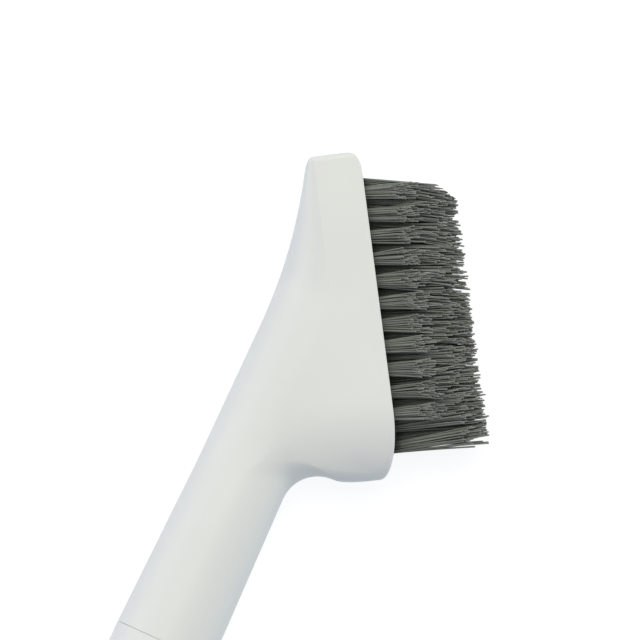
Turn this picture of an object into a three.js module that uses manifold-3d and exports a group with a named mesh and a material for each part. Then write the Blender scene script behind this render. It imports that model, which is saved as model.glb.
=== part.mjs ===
// Cleaning brush for vacuum rollers, lying on its side.
// A white moulded head with a tubular neck carries a plate of stapled bristle tufts.
// The tail of the handle pulls out of the neck and brings a forked hair cutter with it.
//
// Units are millimetres. In the handle frame X runs along the handle from the seam to the head,
// Y points to the back of the head, away from the bristles, and Z is the thickness, up from the
// side that the brush lies on. The handle axis is Y = 0, Z = 0 until the last step.
import * as THREE from "three";
import { mergeVertices } from "three/addons/utils/BufferGeometryUtils.js";
import Module from "manifold-3d";

// Neck, from the seam to where the head begins
const SEAM_D = 23.9; // outside diameter at the seam
const WAIST_D = 21.9; // outside diameter at the thinnest place
const WAIST_X = 42; // from the seam to the waist
const BORE_D = 17.4; // socket in the neck for the cutter
const BORE_SPARE = 5; // bore beyond the tip of the cutter

// Head, a thick slab set at an angle on the end of the neck
const HEAD_T = 24; // thickness from side to side
const HEAD_LENGTH = 76; // from heel to tip, along the rim
const HEAD_ANGLE = THREE.MathUtils.degToRad(32.3); // rim to handle axis
const HEAD_X = 90.1; // middle of the rim, from the seam
const HEAD_Y = -13.2; // middle of the rim, from the handle axis
const FLANK_DEPTH = 10.9; // flat side behind the rim, before the back rounds off
const BACK_ROUND = 13; // deepest rounding of the back
const BACK_SWEEP_X = 76; // where the back leaves the line of the neck
const BACK_SWEEP_R = 127; // radius of the sweep to the tip
const THROAT_R = 9; // hollow under the heel
const HEEL_ROUND = 2; // rounding of the heel's underside
const HEEL_BLEND = 17; // end of the head at the heel, over which both sides curve in
const HEEL_FALL = 10; // how far each side has curved in at the end of the heel
const HEEL_SMOOTH = 0.3; // blend between the tube of the neck and the heel, as a share of the height
const HEEL_RUN = 15; // elliptical corner of the rim at the heel, along the rim
const HEEL_DROP = 4.6; // the same, in depth
const TIP_RUN = 5.4; // elliptical corner of the rim at the tip, along the rim
const TIP_DROP = 3.4; // the same, in depth
const TIP_EDGE = 1.4; // fillet round the end of the tip
const RIM_EDGE = 0.6; // fillet along the rim

// Pocket in the head, and the plate that closes it
const POCKET_WALL = 1.8; // wall beside the pocket
const POCKET_END = 4.3; // wall at the ends of the pocket
const POCKET_DEPTH = 7.5; // seat of the plate below the rim
const POCKET_CORNER = 3;
const CORE_LEDGE = 2.2; // width of the ledge that the plate rests on
const CORE_DEPTH = 9.6; // bottom of the hollow behind the plate
const PLATE_RECESS = 1.6; // face of the bristle backing below the rim
const SLICE_T = 0.8; // slice of backing that carries one column of tufts
const SEAT_GAP = 0.25; // gap left between pieces that are fixed together

// Tufts
const COLUMNS = 4;
const INNER_TUFTS = 13; // in each of the two middle columns
const TUFT_END = 3.4; // from the pocket's end to the first tuft
const HOLE_D = 2.9; // tuft hole in the plate
const HOLE_DEPTH = 3.9;
const SLICE_END = 1.9; // slice beyond the middle of its last tuft
const ROOT_D = 2.4; // packed root of a tuft, inside its hole
const ROOT_LENGTH = 2.1;
const RING_STRANDS = 7; // strands round the one in the middle
const STRAND_R = 0.36;
const STRAND_SIDES = 3;
const ROOT_RING = 0.9; // radius of the ring of strands where they leave the backing
const TIP_RING = 1.9; // radius of the ring at the cut ends
const HEEL_RIDGE = 21.6; // bristles in the middle of the head, from the rim, at the heel end
const TIP_RIDGE = 20.4; // the same at the tip end
const EDGE_LENGTH = 6.8; // bristles along the sides of the head, from the rim
const HIP_START = 1.7; // the ridge slopes down from this far before the last tufts at the tip
const TIP_LEAN = 0.22; // lean of the inner tufts towards the heel, at the tip end of the head
const HEEL_LEAN = -0.02; // the same at the heel end
const SIDE_LEAN = 0.06; // lean of the tufts along the sides
const ANCHOR_LENGTH = 2.5; // flat wire across the bottom of a hole
const ANCHOR_HEIGHT = 1.3;
const ANCHOR_T = 0.5;

// Tail grip
const SEAM_GAP = 0.3;
const TAIL_LENGTH = 99;
const TAIL_SWELL_X = 42; // from the seam to the thickest place
const TAIL_END_D = 20.5; // diameter where the end starts to round off
const TAIL_END_R = 6; // rounding of the end
const TAIL_FLOOR = 4; // thickness of the closed end
const TAIL_SHOULDER = 1.2; // step in the bore that the spigot seats on

// Hair cutter, in one moulding with the spigot that fits both halves of the handle
const SPIGOT_FIT = 0.25; // clearance all round, in the neck and in the grip
const SPIGOT_IN_TAIL = 24;
const SPIGOT_IN_NECK = 16;
const SPIGOT_WALL = 2;
const KEY_LENGTH = 12; // rib that stops the spigot turning in the neck
const KEY_WIDTH = 2;
const KEY_HEIGHT = 1;
const FORK_T = 5; // thickness
const FORK_W = 12; // width where it leaves the spigot
const FORK_REACH = 61; // tip of the long prong, from the seam
const PRONG_STEP = 6; // the short prong ends this much earlier
const PRONG_W = 3.8; // width of the long prong
const NOTCH_LENGTH = 13; // from the tip of the short prong to the root of the notch
const NOTCH_MOUTH = 3.4;
const NOTCH_ROOT = 1.4;
const BLADE_LENGTH = 9.6; // steel blade across the notch
const BLADE_WIDTH = 4;
const BLADE_T = 0.6;
const BLADE_GRIND = 1.1; // width of the ground edge
const BLADE_TILT = THREE.MathUtils.degToRad(52); // blade to handle axis
const PIN_D = 1.2; // pins through the fork and the blade
const PIN_SPACING = 6.6;
const GUSSET_LENGTH = 12; // ribs that brace the fork against the spigot
const GUSSET_RISE = 4;
const GUSSET_T = 2;

// Facets
const ROUND_SIDES = 40; // round the handle
const HOLE_SIDES = 8;
const CORNER_STEPS = 7; // round one corner of a head section
const LEAST_FLAT = 0.2; // shortest straight stretch of a section
const OVERCUT = 1; // how far a cut runs past the face that it opens

const WHITE = { color: 0xe3e4e0, roughness: 0.5, metalness: 0 };
const GREY = { color: 0x3c3f3e, roughness: 0.6, metalness: 0 };
const BRISTLE = { color: 0x5c5f5c, roughness: 0.55, metalness: 0 };
const LIGHT_GREY = { color: 0xb9bcbb, roughness: 0.5, metalness: 0 };
const STEEL = { color: 0xb8babd, roughness: 0.3, metalness: 1 };

const halfHead = HEAD_T / 2;
const halfLength = HEAD_LENGTH / 2;
const seamR = SEAM_D / 2;
const waistR = WAIST_D / 2;
const boreR = BORE_D / 2;
const boreDepth = FORK_REACH + BORE_SPARE;
const spigotR = boreR - SPIGOT_FIT;

const wasm = await Module();
wasm.setup();
const { lerp, smoothstep } = THREE.MathUtils;

// A closed geometry as a solid that can be joined and cut.
function solidOf(geometry) {
  const bare = geometry.index ? geometry.clone() : geometry;
  bare.deleteAttribute("normal");
  bare.deleteAttribute("uv");
  const merged = mergeVertices(bare, 1e-5);
  const mesh = new wasm.Mesh({
    numProp: 3,
    vertProperties: new Float32Array(merged.attributes.position.array),
    triVerts: new Uint32Array(merged.index.array),
  });
  return new wasm.Manifold(mesh);
}

// A solid back as a geometry with flat normals.
function geometryOf(solid) {
  const mesh = solid.getMesh();
  const geometry = new THREE.BufferGeometry();
  geometry.setAttribute("position", new THREE.BufferAttribute(mesh.vertProperties, 3));
  geometry.setIndex(new THREE.BufferAttribute(mesh.triVerts, 1));
  const flat = geometry.toNonIndexed();
  flat.computeVertexNormals();
  return flat;
}

function part(name, geometry, finish) {
  const mesh = new THREE.Mesh(geometry, new THREE.MeshStandardMaterial(finish));
  mesh.name = name;
  return mesh;
}

// A cylinder along X between two stations.
function bar(radius, fromX, toX, sides = ROUND_SIDES) {
  const geometry = new THREE.CylinderGeometry(radius, radius, toX - fromX, sides);
  geometry.rotateZ(-Math.PI / 2);
  return geometry.translate((fromX + toX) / 2, 0, 0);
}

// Head frame: x along the rim to the tip, y in depth from the rim to the back, z as the handle's.
const headFrame = new THREE.Group();
headFrame.position.set(HEAD_X, HEAD_Y, 0);
headFrame.rotation.z = HEAD_ANGLE;
headFrame.updateMatrix();
const rimWay = new THREE.Vector2(Math.cos(HEAD_ANGLE), Math.sin(HEAD_ANGLE));
const depthWay = new THREE.Vector2(-rimWay.y, rimWay.x);

function fromHead(along, depth) {
  return new THREE.Vector2(HEAD_X, HEAD_Y).addScaledVector(rimWay, along).addScaledVector(depthWay, depth);
}

function depthOf(point) {
  return point.clone().sub(new THREE.Vector2(HEAD_X, HEAD_Y)).dot(depthWay);
}

// Outline of the back, by distance from the seam: the tapered neck, a straight run, the sweep to the tip.
function backAt(x) {
  const taper = lerp(seamR, waistR, Math.min(x / WAIST_X, 1));
  const run = Math.max(x - BACK_SWEEP_X, 0);
  return new THREE.Vector2(x, taper + BACK_SWEEP_R - Math.sqrt(BACK_SWEEP_R ** 2 - run ** 2));
}

// Where the back meets the plane of the tip's end.
function tipBackX() {
  let low = BACK_SWEEP_X;
  let high = HEAD_X + HEAD_LENGTH;
  for (let step = 0; step < 40; step += 1) {
    const middle = (low + high) / 2;
    const along = backAt(middle).sub(new THREE.Vector2(HEAD_X, HEAD_Y)).dot(rimWay);
    if (along < halfLength) low = middle;
    else high = middle;
  }
  return low;
}

// The stretches of the head's outline on the bristle side, each with the stretch of back across from it.
// front gives the point at t from 0 to 1, and round the rounding of the section's front end there.
function outlineStretches() {
  const throat = new THREE.Vector2(WAIST_X, -waistR - THROAT_R);
  const throatEnd = new THREE.Vector2(throat.x + THROAT_R, throat.y);
  const heelStart = fromHead(-halfLength, HEEL_DROP);
  const heelTop = fromHead(-halfLength, FLANK_DEPTH + 2);
  const underside = new THREE.QuadraticBezierCurve(throatEnd, heelTop, heelStart);
  const heelBack = heelStart.x + 3;
  const rimBack = fromHead(HEEL_RUN - halfLength, 0).x + 1;
  const tipEnd = tipBackX();
  const cornerBack = tipEnd - TIP_RUN * 0.7;
  const full = waistR - LEAST_FLAT;
  return [
    {
      steps: 4,
      back: [0, WAIST_X],
      front: (t) => new THREE.Vector2(t * WAIST_X, -lerp(seamR, waistR, t)),
      round: (t) => lerp(seamR, waistR, t) - LEAST_FLAT,
    },
    {
      steps: 7,
      back: [WAIST_X, throatEnd.x + 2],
      front: (t) => {
        const turn = (t * Math.PI) / 2;
        return new THREE.Vector2(Math.sin(turn), Math.cos(turn)).multiplyScalar(THROAT_R).add(throat);
      },
      round: (t) => lerp(full, HEEL_ROUND + 1, t),
    },
    {
      steps: 5,
      back: [throatEnd.x + 2, heelBack],
      front: (t) => underside.getPoint(t),
      round: (t) => lerp(HEEL_ROUND + 1, HEEL_ROUND, t),
    },
    {
      steps: 7,
      back: [heelBack, rimBack],
      front: (t) => {
        const turn = (t * Math.PI) / 2;
        return fromHead(HEEL_RUN * (1 - Math.cos(turn)) - halfLength, HEEL_DROP * (1 - Math.sin(turn)));
      },
      round: (t) => lerp(HEEL_ROUND, RIM_EDGE, t),
    },
    {
      steps: 9,
      back: [rimBack, cornerBack],
      front: (t) => fromHead(lerp(HEEL_RUN - halfLength, halfLength - TIP_RUN, t), 0),
      round: () => RIM_EDGE,
    },
    {
      steps: 7,
      back: [cornerBack, tipEnd],
      ease: (t) => Math.sin((t * Math.PI) / 2),
      front: (t) => {
        const turn = (t * Math.PI) / 2;
        return fromHead(halfLength - TIP_RUN * (1 - Math.sin(turn)), TIP_DROP * (1 - Math.cos(turn)));
      },
      round: (t) => lerp(RIM_EDGE, TIP_EDGE / 2, t),
    },
  ];
}

// Half the thickness that the heel's end leaves to the head at a distance along the rim.
function heelHalf(along) {
  const into = Math.min(Math.max(1 - (along + halfLength) / HEEL_BLEND, 0), 1);
  return halfHead - HEEL_FALL * (1 - Math.sqrt(1 - into ** 2));
}

// A height of a section, curved in towards the end of the heel but never inside the tube of the neck.
function fairedHeight(place, height) {
  const along = place.clone().sub(new THREE.Vector2(HEAD_X, HEAD_Y)).dot(rimWay);
  const curved = (height * heelHalf(along)) / halfHead;
  const tubeR = lerp(seamR, waistR, Math.min(place.x / WAIST_X, 1));
  const tube = Math.min(height, Math.sqrt(Math.max(tubeR ** 2 - place.y ** 2, 0)));
  const blend = HEEL_SMOOTH * height;
  const near = Math.max(blend - Math.abs(curved - tube), 0) / blend;
  return Math.min(Math.max(curved, tube) + (near ** 2 * blend) / 4, height);
}

// One section of the head across its thickness, as a closed ring of points.
// It is a rectangle between the back and front points with an elliptical rounding at each end.
function sectionRing(back, front, half, backRound, frontRound) {
  const chord = back.distanceTo(front);
  const way = front.clone().sub(back).divideScalar(chord);
  const endFlat = LEAST_FLAT / 2;
  const ends = [
    [Math.min(backRound, chord - frontRound - LEAST_FLAT), Math.min(backRound, half - endFlat)],
    [frontRound, Math.min(frontRound, half - endFlat)],
  ];
  const upper = [];
  for (let i = 0; i <= CORNER_STEPS; i += 1) {
    const turn = (i / CORNER_STEPS) * (Math.PI / 2);
    const [run, rise] = ends[0];
    upper.push([run * (1 - Math.cos(turn)), half - rise * (1 - Math.sin(turn))]);
  }
  upper.push([(ends[0][0] + chord - ends[1][0]) / 2, half]);
  for (let i = 0; i <= CORNER_STEPS; i += 1) {
    const turn = (i / CORNER_STEPS) * (Math.PI / 2);
    const [run, rise] = ends[1];
    upper.push([chord - run * (1 - Math.sin(turn)), half - rise * (1 - Math.cos(turn))]);
  }
  const top = upper.map(([along, height]) => {
    const place = back.clone().addScaledVector(way, along);
    return new THREE.Vector3(place.x, place.y, fairedHeight(place, height));
  });
  const mirror = new THREE.Vector3(1, 1, -1);
  return [...top, ...top.map((point) => point.clone().multiply(mirror)).reverse()];
}

// The fillet of the tip takes this much off a section that is a given distance from the tip's end.
function tipInset(distance) {
  const into = TIP_EDGE - Math.min(Math.max(distance, 0), TIP_EDGE);
  return TIP_EDGE - Math.sqrt(TIP_EDGE ** 2 - into ** 2);
}

// Sections from the seam to the tip.
function headRings() {
  const stretches = outlineStretches();
  const swellEnd = stretches[3].back[1];
  const rings = [];
  stretches.forEach((stretch, index) => {
    for (let step = index === 0 ? 0 : 1; step <= stretch.steps; step += 1) {
      const t = step / stretch.steps;
      const front = stretch.front(t);
      const backX = lerp(stretch.back[0], stretch.back[1], stretch.ease ? stretch.ease(t) : t);
      const back = backAt(backX);
      const neckHalf = lerp(seamR, waistR, Math.min(backX / WAIST_X, 1));
      const inset = tipInset(halfLength - (front.clone().sub(new THREE.Vector2(HEAD_X, HEAD_Y)).dot(rimWay)));
      const swell = smoothstep(backX, WAIST_X, swellEnd);
      const half = lerp(neckHalf, halfHead, swell) - inset;
      back.lerp(front, inset / back.distanceTo(front));
      const chord = back.distanceTo(front);
      const slant = depthWay.dot(back.clone().sub(front).divideScalar(chord));
      const toCrease = Math.max(FLANK_DEPTH - depthOf(front), 0) / slant;
      const widest = lerp(neckHalf - LEAST_FLAT, BACK_ROUND, swell);
      rings.push(sectionRing(back, front, half, Math.min(widest, chord - toCrease), stretch.round(t)));
    }
  });
  return rings;
}

// A closed skin over rings of equal count, with a flat cap at each end.
function loft(rings) {
  const count = rings[0].length;
  const positions = rings.flat().flatMap((point) => point.toArray());
  const index = [];
  for (let ring = 0; ring + 1 < rings.length; ring += 1) {
    for (let i = 0; i < count; i += 1) {
      const a = ring * count + i;
      const b = ring * count + ((i + 1) % count);
      index.push(a, b, a + count, b, b + count, a + count);
    }
  }
  const last = (rings.length - 1) * count;
  for (let i = 1; i + 1 < count; i += 1) {
    index.push(0, i + 1, i);
    index.push(last, last + i, last + i + 1);
  }
  const geometry = new THREE.BufferGeometry();
  geometry.setAttribute("position", new THREE.Float32BufferAttribute(positions, 3));
  geometry.setIndex(index);
  return geometry;
}

const pocketLength = HEAD_LENGTH - 2 * POCKET_END;
const pocketWidth = HEAD_T - 2 * POCKET_WALL;

// How far a quarter-circle corner stands in at a distance from the end that it rounds.
function cornerInset(distance, radius) {
  const into = radius - Math.min(Math.max(distance, 0), radius);
  return radius - Math.sqrt(radius ** 2 - into ** 2);
}

// Outline of the pocket across the head, drawn in all round by an inset.
// It has a straight end with round corners at the tip and follows the sides in at the heel.
function pocketOutline(inset) {
  const end = pocketLength / 2 - inset;
  const corner = Math.max(POCKET_CORNER - inset, LEAST_FLAT);
  const quarter = [0, 1, 2, 3].map((i) => corner * (1 - Math.cos((i / 3) * (Math.PI / 2))));
  const blendStart = HEEL_BLEND - halfLength;
  const blend = [0, 1, 2, 3, 4].map((i) => lerp(blendStart, corner - end, i / 4));
  const places = [...quarter.map((d) => end - d), ...blend, ...quarter.slice(0, 3).reverse().map((d) => d - end)];
  const upper = places.map((along) => {
    const corners = cornerInset(end - along, corner) + cornerInset(along + end, corner);
    return new THREE.Vector2(along, heelHalf(along) - POCKET_WALL - inset - corners);
  });
  const lower = upper.map((point) => new THREE.Vector2(point.x, -point.y)).reverse();
  return new THREE.Shape([...lower, ...upper]);
}

// The space of the pocket between two depths below the rim.
function pocket(inset, fromDepth, toDepth) {
  const geometry = new THREE.ExtrudeGeometry(pocketOutline(inset), {
    depth: toDepth - fromDepth,
    bevelEnabled: false,
  });
  geometry.rotateX(-Math.PI / 2);
  geometry.translate(0, fromDepth, 0);
  return geometry;
}

function headShell() {
  const aboveRim = -HEEL_RIDGE;
  const seat = pocket(0, aboveRim, POCKET_DEPTH);
  const core = pocket(CORE_LEDGE, aboveRim, CORE_DEPTH);
  const slotLength = SPIGOT_IN_NECK + OVERCUT;
  const slotTop = spigotR + KEY_HEIGHT + SPIGOT_FIT;
  const slot = new THREE.BoxGeometry(slotLength, slotTop, KEY_WIDTH + SPIGOT_FIT * 2);
  slot.translate(slotLength / 2 - OVERCUT, slotTop / 2, 0);
  const shell = solidOf(loft(headRings()))
    .subtract(solidOf(seat.applyMatrix4(headFrame.matrix)))
    .subtract(solidOf(core.applyMatrix4(headFrame.matrix)))
    .subtract(solidOf(bar(boreR, -OVERCUT, boreDepth)))
    .subtract(solidOf(slot));
  return part("head_shell", geometryOf(shell), WHITE);
}

// Columns of tufts across the head, from the upper side to the lower one.
const backingWidth = pocketWidth - 2 * SEAT_GAP;
const columnPitch = backingWidth / COLUMNS;
const tuftPitch = (pocketLength - 2 * TUFT_END) / (INNER_TUFTS - 1);

function isInner(column) {
  return column > 0 && column < COLUMNS - 1;
}

// Places of the tufts along one column.
// Every other column is set half a pitch off, and the outer ones stop short where the heel curves in.
function tuftPlaces(column) {
  const shifted = column % 2 === 0;
  const skipped = (shifted ? 0.5 : 0) + (isInner(column) || shifted ? 0 : 1);
  const first = ((INNER_TUFTS - 1) / 2 - skipped) * tuftPitch;
  const count = INNER_TUFTS - (shifted ? 1 : 0) - (isInner(column) ? 0 : shifted ? 1 : 2);
  return Array.from({ length: count }, (_, i) => first - i * tuftPitch);
}

function columnZ(column) {
  return ((COLUMNS - 1) / 2 - column) * columnPitch;
}

const sliceBottom = PLATE_RECESS + SLICE_T;
const plateTop = sliceBottom + SEAT_GAP;
const plateBottom = POCKET_DEPTH - SEAT_GAP;

// The plate with a blind hole for each tuft.
function tuftPlate() {
  let plate = solidOf(pocket(SEAT_GAP, plateTop, plateBottom));
  for (let column = 0; column < COLUMNS; column += 1) {
    for (const along of tuftPlaces(column)) {
      const hole = new THREE.CylinderGeometry(HOLE_D / 2, HOLE_D / 2, HOLE_DEPTH + OVERCUT, HOLE_SIDES);
      hole.translate(along, plateTop + (HOLE_DEPTH - OVERCUT) / 2, columnZ(column));
      plate = plate.subtract(solidOf(hole));
    }
  }
  return part("tuft_plate", geometryOf(plate), GREY);
}

// One strand as a slim tapering prism from inside the backing to its cut end.
function strand(root, tip, turn) {
  const way = tip.clone().sub(root);
  const geometry = new THREE.CylinderGeometry(STRAND_R * 0.85, STRAND_R, way.length(), STRAND_SIDES);
  geometry.rotateY(turn);
  geometry.translate(0, way.length() / 2, 0);
  const lean = new THREE.Quaternion().setFromUnitVectors(new THREE.Vector3(0, 1, 0), way.normalize());
  geometry.applyQuaternion(lean);
  return geometry.translate(root.x, root.y, root.z);
}

// Height above the rim at which the bristles are trimmed: a ridge along the middle of the head
// that falls to both sides, and at the same slope to the tip.
function cutHeight(along, z) {
  const widest = columnZ(0) + TIP_RING;
  const end = tuftPlaces(1)[0];
  const ridge = lerp(HEEL_RIDGE, TIP_RIDGE, (along + end) / (2 * end));
  const slope = (HEEL_RIDGE - EDGE_LENGTH) / widest;
  const pastHip = Math.max(along - (end - HIP_START), 0);
  return ridge - slope * Math.max(Math.abs(z), pastHip);
}

// Lean of a tuft by its column and its place along the head.
function leanAt(column, along) {
  const end = tuftPlaces(1)[0];
  return isInner(column) ? lerp(HEEL_LEAN, TIP_LEAN, (along + end) / (2 * end)) : SIDE_LEAN;
}

// A column of tufts on its slice of the backing, with the packed roots that fill the holes.
function bristleColumn(column) {
  const z = columnZ(column);
  const places = tuftPlaces(column);
  const first = places[0];
  const last = places[places.length - 1];
  const rootDepth = PLATE_RECESS + SLICE_T / 2;
  const slice = new THREE.BoxGeometry(first - last + SLICE_END * 2, SLICE_T, columnPitch - SEAT_GAP);
  let solid = solidOf(slice.translate((first + last) / 2, rootDepth, z)).intersect(
    solidOf(pocket(SEAT_GAP, PLATE_RECESS - OVERCUT, sliceBottom + OVERCUT)),
  );
  for (const along of places) {
    const root = new THREE.CylinderGeometry(ROOT_D / 2, ROOT_D / 2, ROOT_LENGTH + SLICE_T / 2, HOLE_SIDES);
    root.translate(along, rootDepth + (ROOT_LENGTH + SLICE_T / 2) / 2, z);
    solid = solid.add(solidOf(root));
    for (let i = 0; i <= RING_STRANDS; i += 1) {
      const turn = (i / RING_STRANDS) * Math.PI * 2;
      const ring = i === RING_STRANDS ? 0 : 1;
      const side = new THREE.Vector2(Math.cos(turn), Math.sin(turn)).multiplyScalar(ring);
      const from = new THREE.Vector3(along + side.x * ROOT_RING, rootDepth, z + side.y * ROOT_RING);
      const tipZ = z + side.y * TIP_RING;
      const height = cutHeight(along + side.x * TIP_RING, tipZ);
      const tipAlong = along + side.x * TIP_RING - leanAt(column, along) * height;
      const to = new THREE.Vector3(tipAlong, -height, tipZ);
      solid = solid.add(solidOf(strand(from, to, turn)));
    }
  }
  return part(`bristle_column_${column + 1}`, geometryOf(solid), BRISTLE);
}

// The flat wire that holds a folded tuft at the bottom of its hole.
function tuftAnchors() {
  const depth = plateTop + HOLE_DEPTH - SEAT_GAP - ANCHOR_HEIGHT / 2;
  const anchors = [];
  for (let column = 0; column < COLUMNS; column += 1) {
    tuftPlaces(column).forEach((along, i) => {
      const wire = new THREE.BoxGeometry(ANCHOR_LENGTH, ANCHOR_HEIGHT, ANCHOR_T);
      const anchor = part(`tuft_anchor_${column + 1}_${i + 1}`, wire, STEEL);
      anchor.position.set(along, depth, columnZ(column));
      anchors.push(anchor);
    });
  }
  return anchors;
}

// The grip: a cup turned about the handle axis, thickest where a hand closes on it.
function tailGrip() {
  const end = -TAIL_LENGTH;
  const endR = TAIL_END_D / 2;
  const hollowR = boreR - TAIL_SHOULDER;
  const swellAt = (x) => {
    const towards = x < -TAIL_SWELL_X ? [endR, end + TAIL_END_R] : [seamR, -SEAM_GAP];
    const share = (x + TAIL_SWELL_X) / (towards[1] + TAIL_SWELL_X);
    return new THREE.Vector2(lerp(halfHead, towards[0], share ** 2), x);
  };
  const swellFrom = end + TAIL_END_R;
  const swell = Array.from({ length: 7 }, (_, i) => swellAt(lerp(swellFrom, -TAIL_SWELL_X, i / 6)));
  const swellOn = Array.from({ length: 5 }, (_, i) => swellAt(lerp(-TAIL_SWELL_X, -SEAM_GAP, (i + 1) / 5)));
  const rounding = new THREE.EllipseCurve(
    endR - TAIL_END_R,
    end + TAIL_END_R,
    TAIL_END_R,
    TAIL_END_R,
    -Math.PI / 2,
    0,
  );
  const profile = [
    new THREE.Vector2(0, end),
    ...rounding.getPoints(5),
    ...swell.slice(1),
    ...swellOn,
    new THREE.Vector2(boreR, -SEAM_GAP),
    new THREE.Vector2(boreR, -SPIGOT_IN_TAIL - SEAT_GAP),
    new THREE.Vector2(hollowR, -SPIGOT_IN_TAIL - SEAT_GAP),
    new THREE.Vector2(hollowR, end + TAIL_FLOOR + TAIL_END_R / 2),
    new THREE.Vector2(hollowR - TAIL_END_R / 2, end + TAIL_FLOOR),
    new THREE.Vector2(0, end + TAIL_FLOOR),
  ];
  const cup = new THREE.LatheGeometry(profile, ROUND_SIDES);
  cup.rotateZ(-Math.PI / 2);
  return part("tail_grip", geometryOf(solidOf(cup)), WHITE);
}

const forkRoot = SPIGOT_IN_NECK - SPIGOT_WALL;
const notchRootX = FORK_REACH - PRONG_STEP - NOTCH_LENGTH;
const notchY = -FORK_W / 2 + PRONG_W + NOTCH_MOUTH / 2; // middle of the notch
const bladeX = notchRootX + NOTCH_LENGTH * 0.3; // where the blade crosses the notch

// Outline of the fork, in the plane of the handle's profile: a long prong that slides under the hair
// and a short one that guards the blade, with a narrowing notch between them.
function forkOutline() {
  const half = FORK_W / 2;
  const shortTip = FORK_REACH - PRONG_STEP;
  const shape = new THREE.Shape();
  shape.moveTo(forkRoot, -half);
  shape.lineTo(FORK_REACH - PRONG_W * 2, -half);
  shape.quadraticCurveTo(FORK_REACH, -half, FORK_REACH, -half + PRONG_W * 0.6);
  shape.quadraticCurveTo(FORK_REACH, -half + PRONG_W, FORK_REACH - PRONG_W, -half + PRONG_W);
  shape.lineTo(shortTip, -half + PRONG_W);
  shape.lineTo(notchRootX, notchY - NOTCH_ROOT / 2);
  shape.absarc(notchRootX, notchY, NOTCH_ROOT / 2, Math.PI * 1.5, Math.PI * 0.5, true);
  shape.lineTo(shortTip - 1, notchY + NOTCH_MOUTH / 2);
  shape.quadraticCurveTo(shortTip, notchY + NOTCH_MOUTH / 2, shortTip, notchY + NOTCH_MOUTH / 2 + 1);
  shape.quadraticCurveTo(shortTip, half, shortTip - 4, half);
  shape.lineTo(forkRoot, half);
  return shape;
}

// Turns what was made round the blade's middle, with its length along X, into its place in the fork.
function intoFork(geometry) {
  geometry.rotateZ(BLADE_TILT);
  return geometry.translate(bladeX, notchY, 0);
}

// The slit in the middle of the fork that holds the blade.
function bladeSlit() {
  const slit = [BLADE_LENGTH, BLADE_WIDTH, BLADE_T].map((size) => size + 2 * SEAT_GAP);
  return intoFork(new THREE.BoxGeometry(...slit));
}

// The blade, ground from both faces to the edge that looks out of the notch.
function bladePlate() {
  const back = BLADE_WIDTH / 2;
  const face = BLADE_T / 2;
  const section = new THREE.Shape();
  section.moveTo(face, back);
  section.lineTo(-face, back);
  section.lineTo(-face, BLADE_GRIND - back);
  section.lineTo(0, -back);
  section.lineTo(face, BLADE_GRIND - back);
  const plate = new THREE.ExtrudeGeometry(section, { depth: BLADE_LENGTH, bevelEnabled: false });
  plate.translate(0, 0, -BLADE_LENGTH / 2);
  plate.rotateY(Math.PI / 2);
  return intoFork(plate);
}

function bladePin(side, radius, length) {
  const pin = new THREE.CylinderGeometry(radius, radius, length, HOLE_SIDES);
  pin.rotateX(Math.PI / 2);
  return intoFork(pin.translate((side * PIN_SPACING) / 2, 0, 0));
}

// A rib on one face of the fork, running out along it from the end of the spigot.
function gusset(side) {
  const rib = new THREE.Shape();
  rib.moveTo(0, 0);
  rib.lineTo(GUSSET_LENGTH, 0);
  rib.lineTo(0, FORK_T / 2 + GUSSET_RISE);
  const geometry = new THREE.ExtrudeGeometry(rib, { depth: GUSSET_T, bevelEnabled: false });
  geometry.translate(SPIGOT_IN_NECK - SPIGOT_WALL / 2, 0, -GUSSET_T / 2);
  return geometry.rotateX((side * Math.PI) / 2);
}

// Spigot and fork in one moulding. The spigot is a cup, open towards the grip.
function cutterStem() {
  const thick = { depth: FORK_T, bevelEnabled: false, curveSegments: 4 };
  const fork = new THREE.ExtrudeGeometry(forkOutline(), thick);
  fork.translate(0, 0, -FORK_T / 2);
  const key = new THREE.BoxGeometry(KEY_LENGTH, KEY_HEIGHT + SPIGOT_WALL / 2, KEY_WIDTH);
  key.translate(SPIGOT_IN_NECK - KEY_LENGTH / 2 - 1, spigotR + (KEY_HEIGHT - SPIGOT_WALL / 2) / 2, 0);
  let stem = solidOf(bar(spigotR, -SPIGOT_IN_TAIL, SPIGOT_IN_NECK))
    .subtract(solidOf(bar(spigotR - SPIGOT_WALL, -SPIGOT_IN_TAIL - OVERCUT, forkRoot)))
    .add(solidOf(fork))
    .add(solidOf(key))
    .add(solidOf(gusset(1)))
    .add(solidOf(gusset(-1)))
    .subtract(solidOf(bladeSlit()));
  for (const side of [-1, 1]) {
    stem = stem.subtract(solidOf(bladePin(side, PIN_D / 2 + SEAT_GAP, FORK_T + OVERCUT)));
  }
  return part("cutter_stem", geometryOf(stem), LIGHT_GREY);
}

function cutterBlade() {
  let blade = solidOf(bladePlate());
  for (const side of [-1, 1]) {
    blade = blade.subtract(solidOf(bladePin(side, PIN_D / 2 + SEAT_GAP, FORK_T)));
  }
  return part("cutter_blade", geometryOf(blade), STEEL);
}

function bladePins() {
  return [-1, 1].map((side, i) => part(`blade_pin_${i + 1}`, bladePin(side, PIN_D / 2, FORK_T), STEEL));
}

headFrame.add(tuftPlate(), ...tuftAnchors());
for (let column = 0; column < COLUMNS; column += 1) {
  headFrame.add(bristleColumn(column));
}

const tail = new THREE.Group();
tail.add(tailGrip(), cutterStem(), cutterBlade(), ...bladePins());

const brush = new THREE.Group();
brush.add(headShell(), headFrame, tail);

// The brush lies with the middle of its bounding box over the origin and its lower side at Z = 0.
const extent = new THREE.Box3().setFromObject(brush, true);
const middle = extent.getCenter(new THREE.Vector3());
for (const group of brush.children) {
  group.position.sub(new THREE.Vector3(middle.x, middle.y, extent.min.z));
}

export default brush;
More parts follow.
